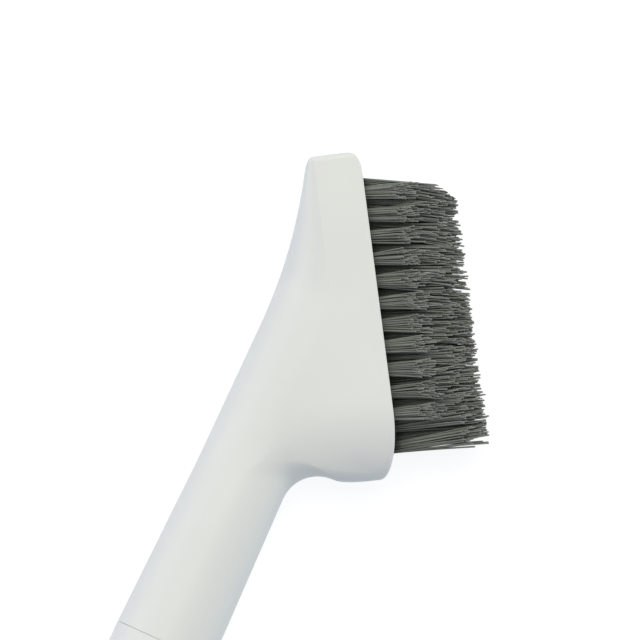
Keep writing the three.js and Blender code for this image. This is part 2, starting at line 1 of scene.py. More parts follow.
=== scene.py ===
"""Looks of a cleaning brush for vacuum rollers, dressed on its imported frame.

Sizes are millimetres in the handle frame of the source: X runs along the handle from the seam to the
head, Y points to the back of the head, away from the bristles, and Z up from the handle's axis. Each
surface is worked out there as whole arrays and turned into metres of the row frame as its mesh is made.
"""

import logging
import math
from dataclasses import dataclass
from enum import Enum
from typing import Any, Sequence

import bpy
import numpy as np
from mathutils import Matrix, Vector


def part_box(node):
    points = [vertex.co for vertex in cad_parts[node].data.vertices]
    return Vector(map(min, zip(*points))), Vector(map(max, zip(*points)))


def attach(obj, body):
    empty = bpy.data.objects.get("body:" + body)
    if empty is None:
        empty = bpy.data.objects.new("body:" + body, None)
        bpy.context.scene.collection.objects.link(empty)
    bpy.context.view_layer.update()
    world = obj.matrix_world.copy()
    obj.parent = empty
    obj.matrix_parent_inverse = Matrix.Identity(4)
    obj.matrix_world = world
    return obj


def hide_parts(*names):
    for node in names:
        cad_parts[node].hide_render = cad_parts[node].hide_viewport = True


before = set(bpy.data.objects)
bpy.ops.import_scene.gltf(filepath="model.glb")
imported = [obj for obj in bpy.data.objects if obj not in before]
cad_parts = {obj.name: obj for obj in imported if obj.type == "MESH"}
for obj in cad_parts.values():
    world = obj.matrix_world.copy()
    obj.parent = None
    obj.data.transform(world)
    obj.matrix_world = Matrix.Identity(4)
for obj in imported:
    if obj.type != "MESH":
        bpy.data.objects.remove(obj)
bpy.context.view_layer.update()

Array = np.ndarray
Draws = np.random.Generator
Material = bpy.types.Material
Object = bpy.types.Object
Socket = bpy.types.NodeSocket
Tree = bpy.types.NodeTree

MM = 0.001  # metres in a millimetre
QUARTER = math.pi / 2
FULL_TURN = 2 * math.pi
GOLDEN_TURN = math.pi * (3 - math.sqrt(5))  # between neighbours of a packed spiral
SEED = 2350
SHADE = "shade"  # attribute of the filaments' points that chooses their grey: a random tone, darkened towards the roots as painted shade

log = logging.getLogger("brush")


class Body(Enum):
    """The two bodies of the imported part."""

    BRUSH = "brush"
    TAIL = "tail"


class Slot(Enum):
    """Material slots of the record."""

    WHITE_PLASTIC = "white_plastic"
    GREY_PLASTIC = "grey_plastic"
    BRISTLE = "bristle"
    STEEL = "steel"


class Cut(Enum):
    """What one closed mesh does to another."""

    TAKE_AWAY = "DIFFERENCE"
    JOIN = "UNION"


def lerp(start: Any, end: Any, share: Any) -> Any:
    """The value that lies at a share of the way from start to end."""
    return start + (end - start) * share


def shares(steps: int) -> Array:
    """Ends of even steps from 0 to 1, without the 0 that they start from."""
    return np.linspace(0, 1, steps + 1)[1:]


def smoothstep(value: Array, low: float, high: float) -> Array:
    """Rises from 0 at low to 1 at high along a cubic that is level at both ends."""
    share = np.clip((value - low) / (high - low), 0, 1)
    return share * share * (3 - 2 * share)


def fillet_inset(distance: Array, radius: float) -> Array:
    """How far a quarter-circle fillet stands in from the full section.

    Args:
        distance: distance of each section from the end that the fillet rounds.
        radius: radius of the fillet.

    Returns:
        Radius minus the height of the circle over the distance, and 0 beyond the fillet.
    """
    into = radius - np.clip(distance, 0, radius)
    return radius - np.sqrt(radius**2 - into**2)


def bezier(start: Sequence[float], middle: Sequence[float], end: Sequence[float], steps: int) -> Array:
    """Points of a quadratic curve: the weights are (1-t) squared, 2t(1-t) and t squared.

    Args:
        start: first point.
        middle: control point.
        end: last point.
        steps: number of steps between the first point and the last.

    Returns:
        Array of steps + 1 points.
    """
    t = np.linspace(0, 1, steps + 1)[:, None]
    return (1 - t) ** 2 * np.array(start) + 2 * t * (1 - t) * np.array(middle) + t**2 * np.array(end)


def arc(centre: Sequence[float], radius: float, start: float, end: float, steps: int) -> Array:
    """Points of a circle about a centre, from the start angle to the end angle in radians."""
    turn = np.linspace(start, end, steps + 1)
    return np.array(centre) + radius * np.stack([np.cos(turn), np.sin(turn)], axis=1)


def rounded_rectangle(length: float, width: float, corner: float, steps: int) -> Array:
    """Outline of a rectangle with round corners, anticlockwise about the origin.

    Args:
        length: size along the first axis.
        width: size along the second axis.
        corner: radius of the corners.
        steps: steps round each corner.

    Returns:
        Array of points of the outline.
    """
    reach = np.array([length / 2 - corner, width / 2 - corner])
    signs = np.array([[1, 1], [-1, 1], [-1, -1], [1, -1]])
    starts = np.arange(len(signs)) * QUARTER
    corners = [
        arc(sign * reach, corner, start, start + QUARTER, steps) for sign, start in zip(signs, starts)
    ]
    return np.concatenate(corners)


@dataclass
class Surface:
    """Points in millimetres, and faces as one array for each number of corners."""

    points: Array
    faces: list[Array]

    def outward(self) -> "Surface":
        """Turns the faces of a closed surface outward, by the sign of the volume that they enclose.

        Returns:
            This surface, or one with the corners of each face in the opposite order.
        """
        volume = 0.0
        for faces in self.faces:
            corners = self.points[faces]
            fans = np.cross(corners[:, 1:-1], corners[:, 2:])
            volume += float(np.sum(corners[:, :1] * fans))
        if volume >= 0:
            return self
        return Surface(self.points, [faces[:, ::-1] for faces in self.faces])

    def moved(self, x: float, y: float, z: float) -> "Surface":
        """This surface moved without a turn."""
        return Surface(self.points + np.array([x, y, z]), self.faces)

    def placed(self, turn: float, x: float, y: float) -> "Surface":
        """This surface turned about Z and then moved in the plane of the handle's profile."""
        rotation = np.array(Matrix.Rotation(turn, 3, "Z"))
        return Surface(self.points @ rotation.T, self.faces).moved(x, y, 0)

    def reordered(self, *axes: int) -> "Surface":
        """This surface with its coordinates taken in another order, faces outward."""
        return Surface(self.points[:, list(axes)], self.faces).outward()


def joined(surfaces: Sequence[Surface]) -> Surface:
    """Several surfaces as one, with the faces of each moved on by the points before it.

    Args:
        surfaces: surfaces to put together.

    Returns:
        One surface with the points and the faces of all.
    """
    starts = np.cumsum([0] + [len(surface.points) for surface in surfaces])
    faces = [face + start for surface, start in zip(surfaces, starts) for face in surface.faces]
    return Surface(np.concatenate([surface.points for surface in surfaces]), faces)


def wrapped_quads(index: Array) -> Array:
    """Quads that join each ring of points to the next and wrap round it.

    Args:
        index: numbers of the points, with the rings before the places round a ring as last axes.

    Returns:
        Array of quads by their four points.
    """
    onward = np.roll(index, -1, axis=-1)
    corners = [index[..., :-1, :], onward[..., :-1, :], onward[..., 1:, :], index[..., 1:, :]]
    return np.stack(corners, axis=-1).reshape(-1, 4)


def skin(rings: Array) -> Surface:
    """Closed skin over a grid of rings, with a flat cap on the first ring and on the last.

    Args:
        rings: array of ring, point of the ring and coordinate.

    Returns:
        Surface whose quads join each ring to the next and wrap round it.
    """
    count, around = rings.shape[:2]
    index = np.arange(count * around).reshape(count, around)
    caps = np.stack([index[0, ::-1], index[-1]])
    return Surface(rings.reshape(-1, 3), [wrapped_quads(index), caps]).outward()


def revolved(profile: Array, sides: int) -> Surface:
    """A profile turned about the handle's axis: each profile point draws a circle at its place.

    Args:
        profile: place along X and radius of each point.
        sides: points of each circle.

    Returns:
        Closed surface with flat ends.
    """
    turn = np.linspace(0, FULL_TURN, sides, endpoint=False)
    stations, radii = profile.T[..., None]
    across = radii * np.cos(turn)
    height = radii * np.sin(turn)
    along = np.broadcast_to(stations, across.shape)
    return skin(np.stack([along, across, height], axis=-1))


def stacked(outline: Array, heights: Array, insets: Array) -> Surface:
    """An anticlockwise outline carried up through heights, drawn in by an inset at each.

    Args:
        outline: points of the outline in its plane.
        heights: height of each level.
        insets: distance by which each level stands inside the outline.

    Returns:
        Closed surface with the outline in X and Y and the heights in Z.
    """
    sides = np.roll(outline, -1, axis=0) - outline
    sides /= np.linalg.norm(sides, axis=1, keepdims=True)
    along = sides + np.roll(sides, 1, axis=0)
    along /= np.linalg.norm(along, axis=1, keepdims=True)
    inward = np.stack([-along[:, 1], along[:, 0]], axis=1)
    levels = outline[None] + insets[:, None, None] * inward[None]
    rise = np.broadcast_to(heights[:, None, None], levels.shape[:2] + (1,))
    return skin(np.concatenate([levels, rise], axis=-1))


def slab(outline: Array, thickness: float, edge: float, steps: int) -> Surface:
    """An outline as a slab with quarter-round edges, centred on height 0.

    Args:
        outline: anticlockwise outline.
        thickness: full thickness.
        edge: radius of its edges.
        steps: steps round each edge.

    Returns:
        Closed surface.
    """
    turn = np.linspace(0, QUARTER, steps + 1)
    insets = edge * (1 - np.sin(turn))
    heights = edge * (1 - np.cos(turn)) - thickness / 2
    all_heights = np.concatenate([heights, -heights[::-1]])
    return stacked(outline, all_heights, np.concatenate([insets, insets[::-1]]))


@dataclass(frozen=True)
class HandleFrame:
    """Place of the handle frame in the row frame, in metres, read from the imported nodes."""

    seam_x: float
    axis_y: float
    axis_z: float

    @classmethod
    def from_nodes(cls) -> "HandleFrame":
        """The frame whose seam is the end of the head shell and whose axis is the grip's."""
        low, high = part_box("tail_grip")
        return cls(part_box("head_shell")[0].x, (low.y + high.y) / 2, (low.z + high.z) / 2)

    def metres(self, points: Array) -> Array:
        """Points of the handle frame in metres of the row frame."""
        return points * MM + np.array([self.seam_x, self.axis_y, self.axis_z])


@dataclass(frozen=True)
class HeadFrame:
    """Frame of the rim: along it to the tip, in depth from it to the back, and across the head."""

    x: float = 90.1
    y: float = -13.2
    angle: float = math.radians(32.3)
    half_length: float = 38.0
    half_thickness: float = 12.0
    heel_blend: float = 17.0  # end of the head at the heel, over which both sides curve in
    heel_fall: float = 10.0  # how far each side has curved in at the end of the heel
    pocket_length: float = 67.4
    pocket_wall: float = 1.8
    pocket_corner: float = 3.0
    corner_steps: int = 12
    blend_steps: int = 24

    @property
    def rim_way(self) -> Array:
        """Unit vector along the rim."""
        return np.array([math.cos(self.angle), math.sin(self.angle)])

    @property
    def depth_way(self) -> Array:
        """Unit vector from the rim to the back."""
        return np.array([-math.sin(self.angle), math.cos(self.angle)])

    @property
    def rim_middle(self) -> Array:
        """Middle of the rim in the profile plane."""
        return np.array([self.x, self.y])

    def place(self, along: Any, depth: Any) -> Array:
        """Points of the profile plane at these distances along the rim and in depth."""
        along, depth = np.broadcast_arrays(np.asarray(along, float), np.asarray(depth, float))
        return self.rim_middle + along[..., None] * self.rim_way + depth[..., None] * self.depth_way

    def along(self, points: Array) -> Array:
        """Distance of profile points along the rim from its middle."""
        return (points - self.rim_middle) @ self.rim_way

    def depth(self, points: Array) -> Array:
        """Distance of profile points behind the rim."""
        return (points - self.rim_middle) @ self.depth_way

    def heel_half(self, along: Array) -> Array:
        """Half the thickness by the place along the rim: level, then a quarter ellipse in to the heel."""
        into = np.clip(1 - (along + self.half_length) / self.heel_blend, 0, 1)
        return self.half_thickness - self.heel_fall * (1 - np.sqrt(1 - into**2))

    def pocket_half(self, along: Array, inset: float) -> Array:
        """Half the width of the pocket, drawn in all round by an inset.

        It is the head's half thickness less the wall, and less a quarter-circle corner at each end.

        Args:
            along: places along the rim.
            inset: distance by which the outline is drawn in.

        Returns:
            Half width at each place.
        """
        end = self.pocket_length / 2 - inset
        corner = self.pocket_corner - inset
        corners = fillet_inset(end - along, corner) + fillet_inset(along + end, corner)
        return self.heel_half(along) - self.pocket_wall - inset - corners

    def pocket_outline(self, inset: float) -> Array:
        """Outline of the pocket along and across the head, with close points at corners and heel.

        Args:
            inset: distance by which the outline is drawn in.

        Returns:
            Points of the outline, anticlockwise.
        """
        end = self.pocket_length / 2 - inset
        turn = np.linspace(0, QUARTER, self.corner_steps + 1)
        corner = (self.pocket_corner - inset) * (1 - np.cos(turn))
        blend = lerp(corner[-1] - end, self.heel_blend - self.half_length, shares(self.blend_steps))
        along = np.concatenate([corner - end, blend, end - corner[::-1]])
        half = self.pocket_half(along, inset)
        lower = np.stack([along, -half], axis=1)
        upper = np.stack([along, half], axis=1)
        return np.concatenate([lower, upper[::-1]])

    def points(self, along: Array, depth: Array, across: Array) -> Array:
        """Points of the handle frame from their three distances in this one."""
        flat = self.place(along, depth)
        return np.concatenate([flat, np.broadcast_to(across, flat.shape[:-1])[..., None]], axis=-1)

    def stood(self, surface: Surface) -> Surface:
        """A surface drawn with its outline along and across the head and its height in depth."""
        along, across, depth = surface.points.T
        return Surface(self.points(along, depth, across), surface.faces).outward()


def linear(colour: str) -> tuple[float, float, float, float]:
    """Turns an sRGB colour to linear: a straight part near black and a power of 2.4 above it.

    Args:
        colour: hex value with its hash sign.

    Returns:
        Red, green and blue from 0 to 1, and a full alpha.
    """
    levels = [int(colour[i : i + 2], 16) / 255 for i in (1, 3, 5)]
    red, green, blue = [v / 12.92 if v <= 0.04045 else ((v + 0.055) / 1.055) ** 2.4 for v in levels]
    return red, green, blue, 1.0


def add_node(tree: Tree, kind: str, inputs: dict[Any, Any], **settings: Any) -> bpy.types.Node:
    """Adds one shader node, sets its properties and fills its inputs.

    Args:
        tree: node tree that takes the node.
        kind: the node's type name after its first word, ShaderNode.
        inputs: for the name or number of each input, a value or the output socket that feeds it.
        settings: properties of the node.

    Returns:
        The new node.
    """
    node = tree.nodes.new("ShaderNode" + kind)
    for name, value in settings.items():
        setattr(node, name, value)
    for key, value in inputs.items():
        if isinstance(value, Socket):
            tree.links.new(value, node.inputs[key])
        else:
            node.inputs[key].default_value = value
    return node


def new_tree(owner: Any) -> Tree:
    """Gives a material or a world nodes and empties them.

    Args:
        owner: material or world.

    Returns:
        Its node tree.
    """
    owner.use_nodes = True
    owner.node_tree.nodes.clear()
    return owner.node_tree


def per_metre(size_mm: float) -> float:
    """Texture scale at which one cell of a pattern on Object coordinates has this size."""
    return 1 / (size_mm * MM)


@dataclass(frozen=True)
class MouldedPlastic:
    """ABS from a mould with a finely eroded face.

    The tool's texture scatters the gloss into an even satin, so highlights are wide and soft, and the
    colour drifts a little where the melt cooled at different rates.
    """

    name: str
    colour: str
    drift_colour: str
    speck_colour: str
    roughness: float = 0.47
    roughness_swing: float = 0.06
    ior: float = 1.54
    drift_mm: float = 26.0
    drift_detail: float = 3.0
    grain_mm: float = 0.45  # eroded texture is nearer 0.1 mm and is drawn coarser to show
    grain_detail: float = 2.0
    grain_height_mm: float = 0.012
    grain_strength: float = 0.6
    speck_spacing_mm: float = 11.0
    speck_share: float = 0.022  # radius of a speck as a share of their spacing
    speck_count: float = 0.3  # share of the places that have a speck

    def material(self) -> Material:
        """Drifting colour, scattered tiny handling specks, uneven satin and the tool's grain.

        Returns:
            The new material.
        """
        material = bpy.data.materials.new(self.name)
        tree = new_tree(material)
        place = add_node(tree, "TexCoord", {}).outputs["Object"]
        drift = add_node(
            tree,
            "TexNoise",
            {"Vector": place, "Scale": per_metre(self.drift_mm), "Detail": self.drift_detail},
        ).outputs["Fac"]
        drifted = add_node(
            tree,
            "Mix",
            {"Factor": drift, "A": linear(self.colour), "B": linear(self.drift_colour)},
            data_type="RGBA",
        ).outputs["Result"]
        cells = add_node(tree, "TexVoronoi", {"Vector": place, "Scale": per_metre(self.speck_spacing_mm)})
        near = add_node(
            tree, "Math", {0: cells.outputs["Distance"], 1: self.speck_share}, operation="LESS_THAN"
        ).outputs[0]
        chosen = add_node(
            tree, "Math", {0: cells.outputs["Color"], 1: self.speck_count}, operation="LESS_THAN"
        ).outputs[0]
        speck = add_node(tree, "Math", {0: near, 1: chosen}, operation="MULTIPLY").outputs[0]
        specked = add_node(
            tree,
            "Mix",
            {"Factor": speck, "A": drifted, "B": linear(self.speck_colour)},
            data_type="RGBA",
        ).outputs["Result"]
        gloss = add_node(
            tree,
            "MapRange",
            {
                "Value": drift,
                "To Min": self.roughness - self.roughness_swing,
                "To Max": self.roughness + self.roughness_swing,
            },
        ).outputs["Result"]
        grain = add_node(
            tree,
            "TexNoise",
            {"Vector": place, "Scale": per_metre(self.grain_mm), "Detail": self.grain_detail},
        ).outputs["Fac"]
        relief = add_node(
            tree,
            "Bump",
            {"Height": grain, "Distance": self.grain_height_mm * MM, "Strength": self.grain_strength},
        ).outputs["Normal"]
        shader = add_node(
            tree,
            "BsdfPrincipled",
            {"Base Color": specked, "Roughness": gloss, "IOR": self.ior, "Normal": relief},
        )
        add_node(tree, "OutputMaterial", {"Surface": shader.outputs["BSDF"]})
        return material


@dataclass(frozen=True)
class DrawnNylon:
    """Nylon filament, drawn and crimped into tufts.

    Each filament is smooth along its length and shows a thin bright line, and the filaments of one tuft
    differ a little in grey. Each is painted darker towards its root, as painted shade between the tufts.
    """

    name: str
    dark_colour: str
    light_colour: str
    roughness: float = 0.42
    ior: float = 1.53

    def material(self) -> Material:
        """Grey chosen filament by filament from the mesh's own attribute, which carries painted shade at
        the roots.

        Returns:
            The new material.
        """
        material = bpy.data.materials.new(self.name)
        tree = new_tree(material)
        shade = add_node(tree, "Attribute", {}, attribute_name=SHADE).outputs["Fac"]
        grey = add_node(
            tree,
            "Mix",
            {"Factor": shade, "A": linear(self.dark_colour), "B": linear(self.light_colour)},
            data_type="RGBA",
        ).outputs["Result"]
        shader = add_node(
            tree, "BsdfPrincipled", {"Base Color": grey, "Roughness": self.roughness, "IOR": self.ior}
        )
        add_node(tree, "OutputMaterial", {"Surface": shader.outputs["BSDF"]})
        return material


@dataclass(frozen=True)
class GroundSteel:
    """Stainless strip, ground along one way.

    The scratches of the wheel stretch the highlight across them.
    """

    name: str
    colour: str
    roughness: float = 0.3
    roughness_swing: float = 0.12
    scratch_mm: float = 0.12  # a fine wheel leaves finer ones, drawn as coarse as shows
    scratch_stretch: float = 25.0  # length of a scratch by its width
    scratch_detail: float = 2.0
    scratch_height_mm: float = 0.004
    scratch_strength: float = 0.5
    grind_turn: float = 0.0

    def material(self) -> Material:
        """Metal with streaks of roughness and height along the grinding.

        Returns:
            The new material.
        """
        material = bpy.data.materials.new(self.name)
        tree = new_tree(material)
        place = add_node(tree, "TexCoord", {}).outputs["Object"]
        streaked = add_node(
            tree,
            "Mapping",
            {"Vector": place, "Rotation": (0, 0, self.grind_turn), "Scale": (self.scratch_stretch, 1, 1)},
            vector_type="TEXTURE",
        ).outputs["Vector"]
        streaks = add_node(
            tree,
            "TexNoise",
            {"Vector": streaked, "Scale": per_metre(self.scratch_mm), "Detail": self.scratch_detail},
        ).outputs["Fac"]
        gloss = add_node(
            tree,
            "MapRange",
            {
                "Value": streaks,
                "To Min": self.roughness - self.roughness_swing,
                "To Max": self.roughness + self.roughness_swing,
            },
        ).outputs["Result"]
        relief = add_node(
            tree,
            "Bump",
            {
                "Height": streaks,
                "Distance": self.scratch_height_mm * MM,
                "Strength": self.scratch_strength,
            },
        ).outputs["Normal"]
        shader = add_node(
            tree,
            "BsdfPrincipled",
            {"Base Color": linear(self.colour), "Metallic": 1.0, "Roughness": gloss, "Normal": relief},
        )
        add_node(tree, "OutputMaterial", {"Surface": shader.outputs["BSDF"]})
        return material


WHITE_ABS = MouldedPlastic("white ABS, eroded satin mould", "#e4e6df", "#dfe1da", "#a9aaa4")
GREY_ABS = MouldedPlastic("grey ABS, eroded satin mould", "#b7baba", "#afb3b3", "#8f9292")
DARK_PP = MouldedPlastic("dark grey polypropylene, plain mould", "#2e3130", "#272a2a", "#3b3e3d")
# its dark grey is what each filament fades to at its root: painted shade
GREY_NYLON = DrawnNylon("grey nylon filament, drawn", "#333732", "#82877e")
# the cut ends' light grey is a painted highlight where they face the light
CUT_NYLON_PAINTED_LIGHT = DrawnNylon("grey nylon cut end, painted highlight", "#bfc3b8", "#e2e5da", roughness=0.6)
BLADE_STEEL = GroundSteel("stainless blade strip, ground", "#c3c6c9", grind_turn=math.radians(52))
WIRE_STEEL = GroundSteel("steel wire, drawn", "#b5b8ba")


def add_object(name: str, data: Any) -> Object:
    """Puts data into the scene as an object at the origin.

    Args:
        name: name of the object.
        data: mesh, camera or light.

    Returns:
        The new object.
    """
    made = bpy.data.objects.new(name, data)
    bpy.context.scene.collection.objects.link(made)
    return made


def add_mesh(name: str, surface: Surface, handle: HandleFrame) -> Object:
    """Puts a surface into the scene.

    Args:
        name: name of the object.
        surface: points in the handle frame and faces.
        handle: place of the handle frame.

    Returns:
        The new object, smoothly shaded.
    """
    mesh = bpy.data.meshes.new(name)
    corners = np.concatenate([faces.ravel() for faces in surface.faces])
    sizes = np.concatenate([np.full(len(faces), faces.shape[1]) for faces in surface.faces])
    mesh.vertices.add(len(surface.points))
    mesh.vertices.foreach_set("co", handle.metres(surface.points).ravel())
    mesh.loops.add(len(corners))
    mesh.loops.foreach_set("vertex_index", corners)
    mesh.polygons.add(len(sizes))
    mesh.polygons.foreach_set("loop_start", np.cumsum(sizes) - sizes)
    mesh.update(calc_edges=True)
    mesh.shade_smooth()
    return add_object(name, mesh)


def combine(piece: Object, other: Object, cut: Cut) -> None:
    """Cuts a closed mesh from another or joins the two, and removes the one that did it.

    Args:
        piece: object that is changed.
        other: object that cuts or joins it.
        cut: which of the two it does.
    """
    modifier = piece.modifiers.new("combine", "BOOLEAN")
    modifier.operation = cut.value
    modifier.solver = "EXACT"
    modifier.object = other
    evaluated = piece.evaluated_get(bpy.context.evaluated_depsgraph_get())
    made = bpy.data.meshes.new_from_object(evaluated)
    piece.modifiers.clear()
    before = piece.data
    piece.data = made
    made.name = piece.name
    bpy.data.meshes.remove(before)
    tool = other.data
    bpy.data.objects.remove(other)
    bpy.data.meshes.remove(tool)


def crease(piece: Object, degrees: float) -> None:
    """Shades a mesh smooth, apart from edges that turn by more than this angle."""
    piece.data.shade_smooth()
    piece.data.set_sharp_from_angle(angle=math.radians(degrees))


def dress(piece: Object, body: Body, slot: Slot, nodes: Sequence[str], *materials: Material) -> None:
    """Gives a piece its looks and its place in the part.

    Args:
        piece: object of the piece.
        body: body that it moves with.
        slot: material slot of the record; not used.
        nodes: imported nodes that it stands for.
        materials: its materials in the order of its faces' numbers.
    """
    piece.data.materials.clear()
    for material in materials:
        piece.data.materials.append(material)
    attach(piece, body.value)
    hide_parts(*nodes)
    log.info("%s: %d faces", piece.name, len(piece.data.polygons))


@dataclass(frozen=True)
class Handle:
    """Sizes that both halves of the handle share."""

    seam_radius: float = 11.95
    waist_radius: float = 10.95
    waist_x: float = 42.0
    bore_radius: float = 8.7
    seam_gap: float = 0.05
    seam_edge: float = 0.12  # rounding of the two edges at the seam
    mouth_edge: float = 0.4  # chamfer of the bores' mouths
    sides: int = 128
    sharp_from: float = 35.0  # degrees

    def neck_radius(self, x: Any) -> Any:
        """Radius of the neck: a straight taper from the seam to the waist and level beyond it."""
        return lerp(self.seam_radius, self.waist_radius, np.minimum(np.asarray(x) / self.waist_x, 1))


@dataclass
class Sections:
    """Sizes of the head's sections from the seam to the tip, one row for each."""

    back: Array  # point of the back, in the profile plane
    way: Array  # unit vector from there to the front, which is the bristle side
    half: Array  # half thickness
    chord: Array  # distance from the back to the front
    back_run: Array  # rounding at the back, along the section
    back_rise: Array  # the same, across the head
    back_end: Array  # angle at which that rounding ends
    front_run: Array  # rounding at the front, along the section
    front_rise: Array  # the same, across the head


@dataclass
class HeadHousing:
    """White moulded head with its tubular neck, open at the rim and at the seam."""

    handle: Handle
    head: HeadFrame
    flank_depth: float = 10.9  # flat side behind the rim
    back_round: float = 13.0
    back_sweep_x: float = 76.0
    back_sweep_radius: float = 127.0
    throat_radius: float = 9.0
    throat_lead: float = 2.0  # how far the back runs ahead of the throat's end
    under_run: float = 7.5  # edge of the heel's underside at the throat, along the side
    under_rise: float = 3.0  # the same edge, across the head
    heel_round: float = 2.8
    heel_smooth: float = 0.3  # blend between the neck's tube and the heel, as a share of the height
    heel_run: float = 15.0
    heel_drop: float = 4.6
    heel_top: float = 2.0  # control point of the heel's underside above the flat side
    heel_lead: float = 3.0  # how far the back runs ahead of the end of the heel's underside
    rim_lead: float = 1.0  # how far it runs ahead of the start of the rim
    rim_edge: float = 0.35
    tip_run: float = 5.4
    tip_drop: float = 3.4
    tip_edge: float = 1.4
    tip_back_edge: float = 1.3
    tip_back_run: float = 3.78  # stretch of the back that the tip's corner takes, along X
    tip_square: float = 0.78  # power that squares the tip's corner, 1 for an ellipse
    crease_angle: float = math.radians(20)  # turn between the flat side and the back, near the tip
    crease_from: float = -8.0  # along the rim, where the crease starts to show
    crease_full: float = 24.0
    crease_before: float = 0.985  # row that holds the crease, as a share of the back's turn
    crease_after: float = 0.02  # row that holds its other side, as a share of the flat side
    least_flat: float = 0.2
    pocket_depth: float = 7.5
    pocket_edge: float = 0.35
    bore_depth: float = 66.0
    slot_length: float = 16.0
    slot_top: float = 9.7
    slot_width: float = 2.5
    slot_corner: float = 0.3
    over: float = 1.0  # how far a cut runs past the face that it opens
    seam_steps: int = 12
    neck_steps: int = 20
    bend_steps: int = 24  # of the throat, the heel's underside and the tip
    heel_steps: int = 28
    rim_steps: int = 30
    corner_steps: int = 14
    flank_steps: int = 6
    lip_steps: int = 4
    slot_steps: int = 3
    search_points: int = 4000

    def back_line(self, x: Array) -> Array:
        """Outline of the back: the neck's taper, plus the rise of a circle from where the sweep starts.

        Args:
            x: places along the handle.

        Returns:
            Points in the profile plane.
        """
        run = np.maximum(x - self.back_sweep_x, 0)
        rise = self.back_sweep_radius - np.sqrt(self.back_sweep_radius**2 - run**2)
        return np.stack([x, self.handle.neck_radius(x) + rise], axis=-1)

    def tip_back_x(self) -> float:
        """Looks along the back for the plane of the tip's end.

        Returns:
            Place along X at which the back meets it.
        """
        half = self.head.half_length
        x = np.linspace(self.back_sweep_x, self.back_sweep_x + 2 * half, self.search_points)
        return float(np.interp(half, self.head.along(self.back_line(x)), x))

    @property
    def throat_centre(self) -> Array:
        """Middle of the throat's quarter circle, in the profile plane."""
        return np.array([self.handle.waist_x, -self.handle.waist_radius - self.throat_radius])

    @property
    def throat_end(self) -> Array:
        """Point at which the throat meets the heel's underside."""
        return self.throat_centre + np.array([self.throat_radius, 0])

    @property
    def heel_start(self) -> Array:
        """Point at which the heel's underside meets the corner that leads to the rim."""
        return self.head.place(-self.head.half_length, self.heel_drop)

    @property
    def rim_start(self) -> float:
        """Place along the rim at which the heel's corner ends."""
        return self.heel_run - self.head.half_length

    @property
    def rim_back(self) -> float:
        """Place along X of the back beside the start of the rim, where the head is fully swollen."""
        return self.head.place(self.rim_start, 0)[0] + self.rim_lead

    def neck_shares(self) -> Array:
        """Sections of the neck, close together round the seam's edge and even beyond it.

        Returns:
            Shares of the way from the seam to the waist.
        """
        edge_share = self.handle.seam_edge / self.handle.waist_x
        edge = edge_share * (1 - np.cos(shares(self.seam_steps) * QUARTER))
        return np.concatenate([[0], edge, lerp(edge[-1], 1, shares(self.neck_steps))])

    def front_line(self) -> Array:
        """Outline of the bristle side, section by section from the seam to the tip.

        It runs down the neck, round a quarter circle of throat, along a quadratic curve under the heel,
        round an elliptical corner to the rim, along the rim and round a squared ellipse at the tip.

        Returns:
            Points in the profile plane.
        """
        head, half_length = self.head, self.head.half_length
        neck_x = self.neck_shares() * self.handle.waist_x
        bend_turn = shares(self.bend_steps) * QUARTER
        heel_turn = shares(self.heel_steps) * QUARTER
        heel_top = head.place(-half_length, self.flank_depth + self.heel_top)
        rim = lerp(self.rim_start, half_length - self.tip_run, shares(self.rim_steps))
        stretches = [
            np.stack([neck_x, -self.handle.neck_radius(neck_x)], axis=1),
            arc(self.throat_centre, self.throat_radius, QUARTER, 0, self.bend_steps)[1:],
            bezier(self.throat_end, heel_top, self.heel_start, self.bend_steps)[1:],
            head.place(
                self.heel_run * (1 - np.cos(heel_turn)) - half_length,
                self.heel_drop * (1 - np.sin(heel_turn)),
            ),
            head.place(rim, 0),
            head.place(
                half_length - self.tip_run * (1 - np.sin(bend_turn) ** self.tip_square),
                self.tip_drop * (1 - np.cos(bend_turn) ** self.tip_square),
            ),
        ]
        return np.concatenate(stretches)

    def back_places(self) -> Array:
        """Places of the back, which keeps pace with the front from the end of each stretch to the next.

        Returns:
            Place along X for each section.
        """
        tip_back = self.tip_back_x()
        ends = [
            self.handle.waist_x,
            self.throat_end[0] + self.throat_lead,
            self.heel_start[0] + self.heel_lead,
            self.rim_back,
            tip_back - self.tip_back_run,
            tip_back,
        ]
        bend, heel, rim = shares(self.bend_steps), shares(self.heel_steps), shares(self.rim_steps)
        parts = [bend, bend, heel, rim, np.sin(bend * QUARTER)]
        places = [self.neck_shares() * self.handle.waist_x]
        places += [lerp(low, high, part) for low, high, part in zip(ends, ends[1:], parts)]
        return np.concatenate(places)

    def front_rounding(self) -> Array:
        """Rounding of the sections at the front, which passes evenly from each stretch's end to the next.

        Returns:
            Run along the side and rise across the head, for each section.
        """
        neck_round = self.handle.neck_radius(self.neck_shares() * self.handle.waist_x) - self.least_flat
        ends = [
            np.full(2, neck_round[-1]),
            np.array([self.under_run, self.under_rise]),
            np.full(2, self.heel_round),
            np.full(2, self.rim_edge),
            np.full(2, self.rim_edge),
            np.full(2, self.tip_edge / 2),
        ]
        bend, heel, rim = shares(self.bend_steps), shares(self.heel_steps), shares(self.rim_steps)
        parts = [bend, bend, heel, rim, bend]
        rounding = [np.repeat(neck_round[:, None], 2, axis=1)]
        rounding += [lerp(low, high, part[:, None]) for low, high, part in zip(ends, ends[1:], parts)]
        return np.concatenate(rounding)

